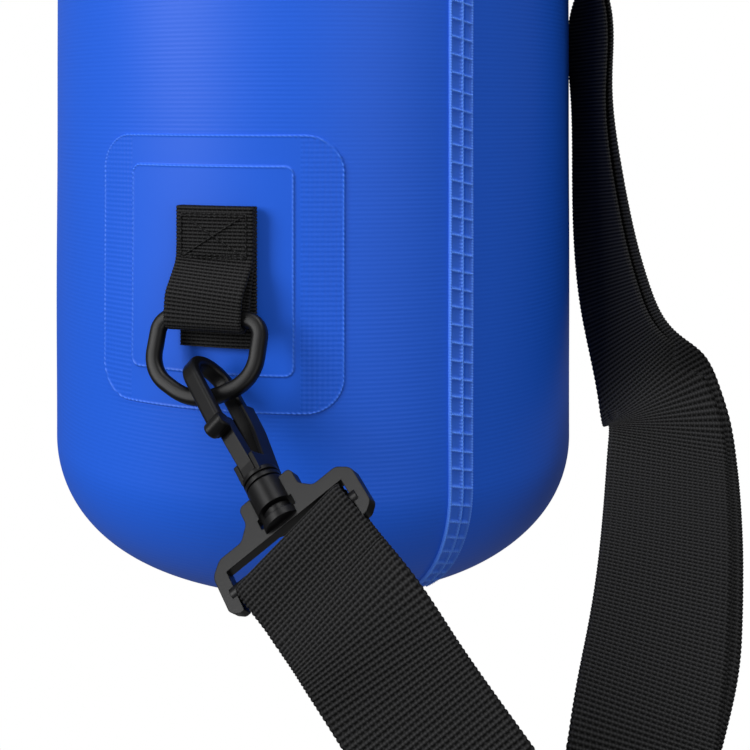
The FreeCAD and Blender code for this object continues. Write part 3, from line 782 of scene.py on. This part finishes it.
@dataclass
class AnchorPatch:
    """The welded patch with its unwelded middle, on the front of the bag."""

    bag: BagBody
    centre: tuple = (-0.0015, -0.336)
    size: tuple = (0.0826, 0.0852)
    corner: float = 0.0115
    pad: tuple = (0.0546, 0.0637)
    pad_corner: float = 0.0028
    pad_shift: tuple = (0.0007, -0.001)
    border_height: float = 0.0004
    pad_height: float = 0.00035
    bead_pitch: float = 0.0016
    bead_width: float = 0.0003
    bead_heights: tuple = (0.00032, 0.00038)
    margin: float = 0.0012
    lines: int = 300

    @staticmethod
    def inside(x: np.ndarray, z: np.ndarray, size: tuple, corner: float) -> np.ndarray:
        """Distance inside a rounded rectangle's edge, negative outside.

        Args:
            x: across, from the rectangle's middle.
            z: up, from its middle.
            size: its width and height.
            corner: radius of its corners.

        Returns:
            The distance for each pair of x and z.
        """
        dx = np.abs(x) - size[0] / 2.0 + corner
        dz = np.abs(z) - size[1] / 2.0 + corner
        away = np.hypot(np.maximum(dx, 0.0), np.maximum(dz, 0.0)) + np.minimum(np.maximum(dx, dz), 0.0)
        return corner - away

    def graded(self, outer: float, inner: float) -> np.ndarray:
        """Grid lines from edge to edge, crowded where the patch's and the pad's edges run.

        Args:
            outer: half the patch's size along this axis.
            inner: half the pad's.

        Returns:
            The lines' places along the axis.
        """
        fine = np.linspace(-outer - self.margin, outer + self.margin, 4001)
        away = np.abs(fine)
        near = np.minimum(np.abs(away - outer), np.abs(away - inner) * 0.9)
        crowd = 1.0 + 3.0 * bell(near, 0.0016) + 0.7 * (away > outer - self.corner)
        total = np.cumsum(crowd)
        return np.interp(np.linspace(total[0], total[-1], self.lines), total, fine)

    def build(self) -> None:
        """One surface that rises from the skin at the patch's edge and again at the pad's.

        Height = a step at each edge + a beaded line just inside it.
        """
        x = self.graded(self.size[0] / 2.0, self.pad[0] / 2.0)[:, None]
        z = self.graded(self.size[1] / 2.0, self.pad[1] / 2.0)[None, :]
        x, z = np.broadcast_arrays(x, z)
        edge = self.inside(x, z, self.size, self.corner)
        pad = self.inside(x + self.pad_shift[0], z + self.pad_shift[1], self.pad, self.pad_corner)
        bead = 0.55 + 0.45 * np.sin(TAU * (x + z) / self.bead_pitch)
        outer_bead = bell(edge - 0.0005, self.bead_width) * bead
        inner_bead = bell(pad - 0.0001, self.bead_width) * bead
        height = self.border_height * smooth(edge / 0.0004) - 0.0006 * smooth(-edge / 0.0006)
        height = height + self.bead_heights[0] * outer_bead + self.bead_heights[1] * inner_bead
        height = height + self.pad_height * smooth((pad + 0.0006) / 0.0009)
        azimuth = np.arcsin((x + self.centre[0]) / self.bag.radius)
        level = z + self.centre[1]
        v = 2.0 + (level - self.bag.corner_z) / (self.bag.shoulder_z - self.bag.corner_z)
        points = self.bag.place(azimuth, v, height)
        patch = surface("anchor_patch", points, np.stack([x, z], -1), (False, False))
        # Painted highlight: the beaded lines inside the patch's and the pad's edges are coloured lighter.
        mark_painted_light(patch, 0.5 * np.maximum(outer_bead, inner_bead))
        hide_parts("anchor_patch")
        bands = self.pad[0] / 2.0 + self.margin
        finish = self.bag.fabric.make("patch fabric", Worked.EMBOSSED, bands)
        dress(patch, finish, "bag")


# ---- webbing ----
def web_section(width: float, thickness: float, rib: np.ndarray, depth: float, count: int,
                scallop: float) -> np.ndarray:
    """Outline of ribbed webbing at each place along it.

    Args:
        width: full width.
        thickness: full thickness at a rib's top.
        rib: height of the rib at each place, 0 to 1.
        depth: depth of the groove between ribs.
        count: points across each face.
        scallop: how far the grooves draw in the edges.

    Returns:
        Places by points by two, anticlockwise.
    """
    x = np.linspace(-1.0, 1.0, count)
    shape = np.clip((1.0 - np.abs(x)) / 0.03, 0.0, 1.0) ** 0.5
    half = (thickness / 2.0 - depth * (1.0 - rib))[:, None] * (0.35 + 0.65 * shape)[None, :]
    wide = (width / 2.0 - scallop * (1.0 - rib))[:, None] * x[None, :]
    low = np.stack([wide, -half], -1)
    high = np.stack([wide[:, ::-1], half[:, ::-1]], -1)
    return np.concatenate([low, high], 1)


def web(name: str, places: np.ndarray, across: np.ndarray, width: float, thickness: float,
        pitch: float, depth: float, count: int) -> bpy.types.Object:
    """Ribbed webbing along a path whose samples are even.

    Args:
        name: the piece's name.
        places: the webbing's middle line.
        across: direction of its width, one or one a place.
        width: its width.
        thickness: its thickness.
        pitch: rib to rib.
        depth: depth of the grooves.
        count: points across each face.

    Returns:
        The piece, with its ends capped.
    """
    wave = np.abs(np.sin(math.pi * lengths(places) / pitch)) ** 0.7
    across, up = frames(places, across)
    section = web_section(width, thickness, wave, depth, count, depth * 0.55)
    return sweep(name, places, across, up, section)


@dataclass
class RingLoop:
    """The 25 mm webbing: base strip, loop round the ring's bar and its stitching."""

    width: float = 0.025
    thickness: float = 0.0014
    pitch: float = 0.00109
    depth: float = 0.00040
    bar: tuple = (0.0025, -0.1025, -0.3485)
    top_z: float = -0.3151
    base_z: float = -0.3582
    surface_y: float = -0.0970
    wrap: float = 0.0034
    sideways: float = 0.0016
    points_across: int = 60
    hug_diameter: float = 0.196
    thread: tuple = (0.00034, 0.00026)
    stitch_length: float = 0.0021
    box_half: float = 0.0105
    box_drops: tuple = (0.0022, 0.0155)
    finish: Webbing = field(default_factory=lambda: Webbing(yarn_pitch=0.0008))

    def build(self) -> None:
        """The strip, the loop and the thread of the box with a cross in it."""
        material = self.finish.make("loop webbing", self.pitch)
        step = self.pitch / 8.0
        bar_x, bar_y, bar_z = self.bar
        flat = self.surface_y - self.thickness / 2.0
        strip_line = rounded_path([(flat, self.top_z), (flat, self.base_z)], [], step)
        strip = web("anchor_strip", self.lift(strip_line, bar_x), np.array([1.0, 0.0, 0.0]), self.width,
                    self.thickness, self.pitch, self.depth, self.points_across)
        self.wrap_to_bag(strip)
        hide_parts("anchor_webbing")
        dress(strip, material, "bag")
        wrap = self.wrap
        back, front = bar_y + wrap, bar_y - wrap
        seam = flat - self.thickness - 0.0001
        corners = [(seam - self.thickness, self.top_z), (seam - self.thickness, bar_z + 0.0165),
                   (front, bar_z + 0.0075), (front, bar_z - wrap), (back, bar_z - wrap),
                   (back, bar_z + 0.006), (seam, bar_z + 0.015), (seam, self.top_z)]
        line = rounded_path(corners, [0.008, 0.008, 0.0033, 0.0033, 0.005, 0.005], step)
        places = self.lift(line, bar_x)
        low = np.clip((bar_z + 0.022 - places[:, 2]) / 0.024, 0.0, 1.0)
        places[:, 0] -= self.sideways * smooth(low)
        loop = web("ring_loop", places, np.array([1.0, 0.0, 0.0]), self.width + 0.0001,
                   self.thickness, self.pitch, self.depth, self.points_across)
        self.wrap_to_bag(loop)
        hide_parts("lower_ring_loop")
        dress(loop, material, "bag")
        self.build_stitches(material, seam - 1.5 * self.thickness)

    @staticmethod
    def lift(line: np.ndarray, x: float) -> np.ndarray:
        """A line in the YZ plane as places at x."""
        return np.stack([np.full(len(line), x), line[:, 0], line[:, 1]], 1)

    def wrap_to_bag(self, piece: bpy.types.Object) -> None:
        """Bends the flat webbing back with the bag's curve: y += x squared over the diameter.

        Args:
            piece: the strip, bent all along, or the loop, bent above the ring's bar only.
        """
        mesh = piece.data
        co = np.empty(len(mesh.vertices) * 3, np.float32)
        mesh.vertices.foreach_get("co", co)
        co = co.reshape(-1, 3)
        hug = smooth((co[:, 2] - self.bar[2] - 0.004) / 0.016)
        if piece.name == "anchor_strip":
            hug = np.ones(len(co))
        co[:, 1] += hug * co[:, 0] ** 2 / self.hug_diameter
        mesh.vertices.foreach_set("co", co.reshape(-1))
        mesh.update()

    def build_stitches(self, material: bpy.types.Material, face_y: float) -> None:
        """Rows of short thread humps: a box with a cross in it and a second row along two sides.

        Args:
            material: the thread's finish.
            face_y: the loop's front face.
        """
        x0, x1 = self.bar[0] - self.box_half, self.bar[0] + self.box_half
        z0, z1 = (self.top_z - drop for drop in self.box_drops)
        runs = [((x0, z0), (x1, z0)), ((x1, z0), (x1, z1)), ((x1, z1), (x0, z1)), ((x0, z1), (x0, z0)),
                ((x0, z0), (x1, z1)), ((x0, z1), (x1, z0)), ((x0, z0 - 0.0008), (x1, z0 - 0.0008)),
                ((x0, z1 + 0.0009), (x1, z1 + 0.0009))]
        thread = oval(*self.thread, 2.0, 8)
        for index, ((ax, az), (bx, bz)) in enumerate(runs):
            count = max(2, int(math.hypot(bx - ax, bz - az) / self.stitch_length))
            t = np.linspace(0.0, 1.0, count * 8 + 1)
            hump = 0.00026 - 0.00060 * (np.cos(TAU * t * count) * 0.5 + 0.5) ** 2
            x, z = ax + (bx - ax) * t, az + (bz - az) * t
            line = np.stack([x, face_y - hump + x**2 / self.hug_diameter, z], 1)
            across, up = frames(line, np.array([0.0, 1.0, 0.0]))
            row = sweep("stitch_row_%d" % (index + 1), line, across, up, thread)
            dress(row, material, "bag")


@dataclass
class ShoulderStrap:
    """The doubled 38 mm strap with its folds round the frames' bars and the slider."""

    width: float = 0.038
    thickness: float = 0.0015
    pitch: float = 0.0013
    step: float = 0.0002467
    depth: float = 0.00050
    offset: float = 0.00105
    end_length: float = 0.0215
    bar_drop: float = 0.0046
    wrap: float = 0.00335
    lower_slot: tuple = (0.0401727, -0.1375905, -0.3976760)
    upper_slot: tuple = (0.1187, 0.0, -0.13567)
    hang: tuple = (0.6389, -0.5193, -0.5685)
    across: tuple = (0.742, 0.2188, 0.634)
    lead: float = math.radians(8.0)
    slip: float = 0.0035
    slip_span: tuple = (0.150, 0.410)
    straight_steps: int = 4
    points_across: int = 26
    slider_bar: float = -0.0029
    slider_wrap: float = 0.00195
    straight_low: tuple = (0.1052, 0.0022, -0.225)
    straight_top: tuple = (0.1162, 0.0, -0.172)
    slider_place: tuple = (0.1133573, 0.0005685, -0.1856966)
    finish: Webbing = field(default_factory=Webbing)
    route: tuple = (
        ((0.0730, -0.1555, -0.4245), (0.77, 0.20, 0.60)),
        ((0.0915, -0.1610, -0.4440), (0.80, 0.20, 0.56)),
        ((0.1082, -0.1595, -0.4650), (0.84, 0.18, 0.50)),
        ((0.1186, -0.1505, -0.4815), (0.92, 0.08, 0.36)),
        ((0.1235, -0.1385, -0.4875), (0.97, -0.03, 0.16)),
        ((0.1265, -0.1270, -0.4780), (0.96, 0.10, 0.04)),
        ((0.1285, -0.1160, -0.4550), (0.94, 0.30, -0.04)),
        ((0.1312, -0.0906, -0.4345), (0.945, 0.32, 0.0)),
        ((0.1320, -0.0610, -0.4160), (0.947, 0.322, 0.0)),
        ((0.1308, -0.0300, -0.3980), (0.947, 0.322, 0.0)),
        ((0.1290, -0.0205, -0.3880), (0.950, 0.305, 0.0)),
        ((0.1222, -0.0130, -0.3785), (0.917, -0.398, 0.0)),
        ((0.1105, -0.0026, -0.3512), (0.633, -0.774, 0.0)),
        ((0.1052, 0.0020, -0.3185), (0.505, -0.863, 0.0)),
        ((0.1028, 0.0030, -0.2800), (0.420, -0.9075, 0.0)),
        ((0.1028, 0.0030, -0.2500), (0.410, -0.912, 0.0)),
    )

    def lower_lead(self) -> tuple:
        """Where the strap leaves the lower bar: slot's middle, direction down and across."""
        hang, side = unit(np.array(self.hang)), unit(np.array(self.across))
        down = hang * math.cos(self.lead) + side * math.sin(self.lead)
        level = side * math.cos(self.lead) - hang * math.sin(self.lead)
        bar = np.array(self.lower_slot) + hang * self.bar_drop
        return bar - down * self.bar_drop, down, level

    def middle(self) -> tuple:
        """Middle line of the doubled strap between its two ends.

        Returns:
            (places, tangents, across directions, distance along), evenly sampled.
        """
        pivot, hang, side = self.lower_lead()
        start = pivot + hang * self.end_length
        stop = np.array(self.upper_slot) - np.array([0.0, 0.0, self.end_length])
        low, top = np.array(self.straight_low), np.array(self.straight_top)
        last = self.straight_steps - 1
        straight = [low + (top - low) * k / last for k in range(self.straight_steps)]
        level = [(0.0, -1.0, 0.0)] * (self.straight_steps + 1)
        places = np.array([start, start + hang * 0.010] + [p for p, w in self.route] + straight + [stop])
        sides = np.array([side, side] + [w for p, w in self.route] + level)
        knots = lengths(places)
        fine = np.linspace(0.0, knots[-1], 4000)
        along = lengths(spline(places, knots, fine))
        samples = int(round(along[-1] / self.step))
        at = np.interp(np.linspace(0.0, along[-1], samples + 1), along, fine)
        line = spline(places, knots, at)
        edge = spline(places + sides * self.width / 2.0, knots, at)
        tangent = unit(np.gradient(line, axis=0))
        across = edge - line
        across = unit(across - tangent * np.sum(across * tangent, 1)[:, None])
        return line, tangent, across, np.linspace(0.0, along[-1], samples + 1)

    def layer(self, parts: tuple, offset: float) -> np.ndarray:
        """Middle line of one layer of the strap; the outer one has slipped sideways a little.

        Args:
            parts: the doubled strap's middle line, as given by middle().
            offset: distance from it, positive for the layer that has slipped.

        Returns:
            The layer's places.
        """
        line, tangent, across, along = parts
        layer = line + np.cross(tangent, across) * offset
        if offset > 0.0:
            start, end = self.slip_span
            slip = smooth((along - start) / 0.05) * smooth((end - along) / 0.05)
            layer = layer + across * (self.slip * slip)[:, None]
        return layer

    def fold(self, slot: np.ndarray, side: np.ndarray, upward: np.ndarray, long_leg: float,
             short_leg: float) -> np.ndarray:
        """The strap's turn round a frame's bar.

        Args:
            slot: middle of the frame's slot.
            side: direction across the strap.
            upward: direction up the frame.
            long_leg: where the main layer's leg stops below the slot.
            short_leg: where the other leg stops.

        Returns:
            Places from the other layer's leg over the bar to the main layer's.
        """
        drop, wrap, off = self.bar_drop, self.wrap, self.offset
        corners = [(-off, -short_leg), (-off, -drop - 0.011), (-wrap, -drop - 0.002),
                   (-wrap, -drop + wrap), (wrap, -drop + wrap), (wrap, -drop - 0.002),
                   (off, -drop - 0.011), (off, -long_leg)]
        radii = [0.008, 0.006, wrap - 1e-5, wrap - 1e-5, 0.006, 0.008]
        line = rounded_path(corners, radii, self.step)
        normal = np.cross(upward, side)
        return slot + normal * line[:, :1] + upward * line[:, 1:]

    def resample(self, places: np.ndarray, across: np.ndarray) -> tuple:
        """Evens out a path's steps.

        Args:
            places: the path.
            across: the direction across it at each place.

        Returns:
            (places, across directions) of the same path.
        """
        along = lengths(places)
        count = int(round(along[-1] / self.step))
        at = np.linspace(0.0, along[-1], count + 1)
        take = [np.stack([np.interp(at, along, part[:, k]) for k in range(3)], 1)
                for part in (places, across)]
        return take[0], unit(take[1])

    def build(self) -> None:
        """Three lengths of one strap, parted at the bottom of its bend."""
        material = self.finish.make("strap webbing", self.pitch)
        parts = self.middle()
        line, _, across, _ = parts
        split = int(np.argmin(line[:, 2]))
        main, back = self.layer(parts, self.offset), self.layer(parts, -self.offset)
        pivot, down, side_low = self.lower_lead()
        up_low = -down
        leg = self.end_length - 0.0004
        low_fold = self.fold(pivot, side_low, up_low, leg, leg)
        if (main[0] - line[0]) @ np.cross(up_low, side_low) < 0.0:
            low_fold = low_fold[::-1]
        places = np.concatenate([back[split:0:-1], low_fold, main[1:split + 1]])
        sides = np.concatenate([across[split:0:-1], np.tile(side_low, (len(low_fold), 1)),
                                across[1:split + 1]])
        self.length_of("lower_strap", places, sides, material,
                       ["lower_strap_end", "strap_return_run"])
        up_top, side_top = np.array([0.0, 0.0, 1.0]), np.array([0.0, -1.0, 0.0])
        top_fold = self.fold(np.array(self.upper_slot), side_top, up_top, leg, 0.019)
        places = np.concatenate([main[split:-1], top_fold[::-1]])
        sides = np.concatenate([across[split:-1], np.tile(side_top, (len(top_fold), 1))])
        self.length_of("upper_strap", places, sides, material,
                       ["upper_strap_end", "strap_main_run"])
        self.build_return(material, parts, back, split)

    def build_return(self, material: bpy.types.Material, parts: tuple, back: np.ndarray,
                     split: int) -> None:
        """The inner layer's upper length, up to and round the slider's middle bar.

        Args:
            material: the strap's finish.
            parts: the doubled strap's middle line, as given by middle().
            back: the inner layer's places.
            split: index of the strap's lowest place.
        """
        line, _, across, _ = parts
        slide = unit(np.array(self.straight_top) - np.array(self.straight_low))
        side = np.array([0.0, -1.0, 0.0])
        side = unit(side - slide * (side @ slide))
        normal = np.cross(slide, side)
        centre = np.array(self.slider_place)
        wrap, mid = self.slider_wrap, self.slider_bar
        corners = [(mid + wrap, -0.0115), (mid + wrap, 0.003 + wrap), (mid - wrap, 0.003 + wrap),
                   (mid - wrap, -0.0115)]
        turn = rounded_path(corners, [wrap - 1e-5] * 2, self.step)
        turn = centre + normal * turn[:, :1] + slide * turn[:, 1:]
        near = ((line - centre) @ slide > -0.030) & (line[:, 2] >= -0.26)
        stop = int(np.argmax(near))
        places = np.concatenate([back[split:stop], turn])
        sides = np.concatenate([across[split:stop], np.tile(side, (len(turn), 1))])
        self.length_of("inner_strap", places, sides, material,
                       ["strap_slider_loop"])

    def length_of(self, name: str, places: np.ndarray, sides: np.ndarray, material: bpy.types.Material,
                  nodes: list) -> None:
        """Makes one length of the strap and dresses it.

        Args:
            name: the piece's name.
            places: its middle line.
            sides: direction across it at each place.
            material: its finish.
            nodes: the CAD nodes that it stands for.
        """
        places, sides = self.resample(places, sides)
        piece = web(name, places, sides, self.width, self.thickness, self.pitch, self.depth,
                    self.points_across)
        piece.data.materials.append(material)
        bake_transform(piece)
        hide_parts(*nodes)
        LOG.info("%s: %.3f m of webbing", name, lengths(places)[-1])


@dataclass
class BuckleWebbing:
    """The tabs that carry the buckle and the loop that holds the upper ring."""

    width: float = 0.025
    thickness: float = 0.0014
    pitch: float = 0.00109
    depth: float = 0.00040
    face: float = 0.1137
    bar_height: float = 0.005
    bar_radius: float = 0.0018
    bars: tuple = (0.038, 0.024)
    upper_bar: tuple = (0.1187, -0.062)
    upper_wrap: float = 0.0034
    points_across: int = 24
    finish: Webbing = field(default_factory=lambda: Webbing(yarn_pitch=0.0008))

    def tab(self, side: int) -> np.ndarray:
        """Line of one tab: up the roll's end, over to the buckle's bar and back.

        Args:
            side: -1 for the left tab and 1 for the right one.

        Returns:
            Places, as x and z.
        """
        bar = self.bars[0] if side < 0 else self.bars[1]
        top = self.bar_height + self.bar_radius + 0.0003 + self.thickness / 2.0
        low = 2.0 * self.bar_height - top
        wrap = (top - low) / 2.0
        corners = [(side * self.face, -0.047), (side * self.face, top), (side * (bar - wrap), top),
                   (side * (bar - wrap), low), (side * (bar + 0.026), low)]
        return rounded_path(corners, [0.036, wrap - 1e-5, wrap - 1e-5], self.pitch / 8.0)

    def upper_loop(self) -> np.ndarray:
        """Line of the loop round the upper ring's bar."""
        x, z = self.upper_bar
        wrap = self.upper_wrap
        top = z + 0.026
        corners = [(x - wrap, top), (x - wrap, z - wrap), (x + wrap, z - wrap), (x + wrap, z + 0.005),
                   (x - wrap + 0.00142, z + 0.015), (x - wrap + 0.00142, top)]
        return rounded_path(corners, [0.0033, 0.0033, 0.006, 0.006], self.pitch / 8.0)

    def build(self) -> None:
        """The two tabs and the loop, all in the XZ plane."""
        material = self.finish.make("tab webbing", self.pitch)
        lines = {"left_buckle_tab": (self.tab(-1), "left_buckle_tab"),
                 "right_buckle_tab": (self.tab(1), "right_buckle_tab"),
                 "upper_ring_loop": (self.upper_loop(), "upper_ring_loop")}
        for name, (line, node) in lines.items():
            places = np.stack([line[:, 0], np.zeros(len(line)), line[:, 1]], 1)
            piece = web(name, places, np.array([0.0, 1.0, 0.0]), self.width, self.thickness,
                        self.pitch, self.depth, self.points_across)
            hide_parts(node)
            dress(piece, material, "bag")


# ---- rings, hooks and buckle ----
@dataclass
class Hardware:
    """The moulded parts: rings swept afresh, the others from the CAD with softened edges."""

    ring_half: float = 0.0165
    ring_drop: float = 0.0264
    lower_bar: tuple = (0.0025, -0.1025, -0.3485)
    upper_bar: tuple = (0.1187, 0.0, -0.062)
    lower_lean: float = math.radians(24.0)
    wire: tuple = (0.0022, 0.0024)
    squareness: float = 2.9
    finish: MouldedPlastic = field(default_factory=MouldedPlastic)

    def ring(self, name: str, bar: tuple, side: np.ndarray, upward: np.ndarray) -> bpy.types.Object:
        """A D-ring of flat-oval wire, its bar at the top.

        Args:
            name: the piece's name.
            bar: the bar's middle.
            side: direction along the bar.
            upward: direction from the bow to the bar.

        Returns:
            The piece.
        """
        a, drop = self.ring_half, -self.ring_drop
        corners = [(0.0, 0.0), (a, 0.0), (a, -0.0175), (0.0, drop), (-a, -0.0175), (-a, 0.0)]
        line = rounded_path(corners[1:], [0.005, 0.011, 0.017, 0.011, 0.005], 0.0006, closed=True)
        places = np.array(bar) + side * line[:, :1] + upward * line[:, 1:]
        normal = np.cross(side, upward)
        across, up = frames(places, normal, closed=True)
        return sweep(name, places, across, up, oval(*self.wire, self.squareness, 32), Edge.JOINED)

    def build(self) -> None:
        """Both rings and the softened CAD parts."""
        plastic = self.finish.make("moulded plastic")
        lean = np.array([0.0, math.sin(self.lower_lean), math.cos(self.lower_lean)])
        rings = (("lower_ring", self.lower_bar, np.array([1.0, 0.0, 0.0]), lean, "lower_d_ring"),
                 ("upper_ring", self.upper_bar, np.array([0.0, 1.0, 0.0]), np.array([0.0, 0.0, 1.0]),
                  "upper_d_ring"))
        for name, bar, side, upward, node in rings:
            piece = self.ring(name, bar, side, upward)
            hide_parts(node)
            dress(piece, plastic, name)
        pins = shader("blackened steel", (0.05, 0.05, 0.05), 0.3, Metallic=1.0)[0]
        finishes = {"moulded_plastic": plastic, "pin_metal": pins}
        swept = [node for *_, node in rings]
        for part in frame["record"]["subparts"]:
            name, slot = part["node"], part["material_slot"]
            if slot in finishes and name not in swept:
                node = frame["nodes"][name]
                node.data.materials.clear()
                node.data.materials.append(finishes[slot])


# ---- studio ----
@dataclass
class Studio:
    """Pale floor and background, soft lights and the camera."""

    azimuth: float = math.radians(18.8)
    distance: float = 0.475
    eye_z: float = -0.286
    lens: float = 60.2
    shift: tuple = (0.0827, -0.3533)
    aim: tuple = (0.0, 0.0, -0.32)
    floor_z: float = -1.6
    floor_radius: float = 12.0
    floor_grey: float = 0.45
    ambient: float = 0.22
    lights: tuple = (("key", (-1.05, 0.75, 0.45), (0.55, 0.9), 15.5),
                     ("fill", (0.5, 1.3, 0.1), (0.9, 0.9), 4.4),
                     ("top", (0.1, 0.5, 1.3), (0.7, 0.7), 9.0))

    def spot(self, right: float, toward: float, up: float) -> Vector:
        """A place in the studio.

        Args:
            right: distance to the camera's right of the bag's axis.
            toward: distance toward the camera.
            up: height above eye level.

        Returns:
            The place.
        """
        a = self.azimuth
        x = right * math.cos(a) + toward * math.sin(a)
        y = right * math.sin(a) - toward * math.cos(a)
        return Vector((x, y, self.eye_z + up))

    def light(self, name: str, where: tuple, size: tuple, power: float) -> None:
        """A soft rectangular light aimed at the bag's middle.

        Args:
            name: its name.
            where: its place, as for spot().
            size: its width and height.
            power: its power in watts.
        """
        data = bpy.data.lights.new(name, "AREA")
        data.shape = "RECTANGLE"
        data.size, data.size_y = size
        data.energy = power
        lamp = bpy.data.objects.new(name, data)
        lamp.location = self.spot(*where)
        lamp.rotation_euler = (Vector(self.aim) - lamp.location).to_track_quat("-Z", "Y").to_euler()
        bpy.context.scene.collection.objects.link(lamp)

    def build(self) -> None:
        """Camera, world, floor and lights."""
        camera = bpy.data.objects.new("camera", bpy.data.cameras.new("camera"))
        camera.data.lens = self.lens
        camera.data.sensor_width = 36.0
        camera.data.shift_x, camera.data.shift_y = self.shift
        camera.data.clip_start = 0.02
        camera.location = self.spot(0.0, self.distance, 0.0)
        camera.rotation_euler = (math.pi / 2.0, 0.0, self.azimuth)
        bpy.context.scene.collection.objects.link(camera)
        bpy.context.scene.camera = camera
        bpy.context.scene.view_settings.view_transform = "Standard"
        self.build_world()
        self.build_floor()
        for light in self.lights:
            self.light(*light)

    @staticmethod
    def white_to_camera(tree: bpy.types.NodeTree, lit: bpy.types.NodeSocket,
                        white: bpy.types.NodeSocket, output: str) -> None:
        """Lets a surface or the world light the bag as it is, while it looks white.

        Args:
            tree: the nodes of the material or the world.
            lit: the shader that the bag is lit by.
            white: the shader that is seen directly.
            output: name of the output node.
        """
        mix = tree.nodes.new("ShaderNodeMixShader")
        seen = tree.nodes.new("ShaderNodeLightPath").outputs["Is Camera Ray"]
        for socket, source in zip(mix.inputs, (seen, lit, white)):
            tree.links.new(source, socket)
        tree.links.new(mix.outputs[0], tree.nodes[output].inputs["Surface"])

    def build_world(self) -> None:
        """Soft dim light from all round."""
        world = bpy.data.worlds.new("studio")
        world.use_nodes = True
        tree = world.node_tree
        shown, soft = tree.nodes["Background"], tree.nodes.new("ShaderNodeBackground")
        for node, strength in ((shown, 1.0), (soft, self.ambient)):
            node.inputs["Color"].default_value = (1.0, 1.0, 1.0, 1.0)
            node.inputs["Strength"].default_value = strength
        self.white_to_camera(tree, soft.outputs[0], shown.outputs[0], "World Output")
        bpy.context.scene.world = world

    def build_floor(self) -> None:
        """A round, pale, matt floor, well below the hanging bag."""
        material, tree, node = shader("pale floor", (self.floor_grey,) * 3, 0.95)
        glow = tree.nodes.new("ShaderNodeEmission")
        glow.inputs["Color"].default_value = (1.0, 1.0, 1.0, 1.0)
        self.white_to_camera(tree, node.outputs[0], glow.outputs[0], "Material Output")
        angle = np.linspace(0.0, TAU, 96, endpoint=False)
        rim = np.stack([np.cos(angle), np.sin(angle), np.zeros(96)], 1) * self.floor_radius
        rim[:, 2] = self.floor_z
        mesh = bpy.data.meshes.new("floor")
        mesh.from_pydata(rim.tolist(), [], [tuple(range(len(rim)))])
        floor = bpy.data.objects.new("floor", mesh)
        bpy.context.scene.collection.objects.link(floor)
        floor.data.materials.append(material)


def main() -> None:
    """Builds the dry bag's looks, sub-assembly by sub-assembly, then the studio."""
    logging.basicConfig(level=logging.INFO, format="%(message)s")
    bag = BagBody()
    bag.build()
    AnchorPatch(bag).build()
    RingLoop().build()
    BuckleWebbing().build()
    Hardware().build()
    ShoulderStrap().build()
    Studio().build()
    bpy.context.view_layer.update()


if __name__ == "__main__":
    main()
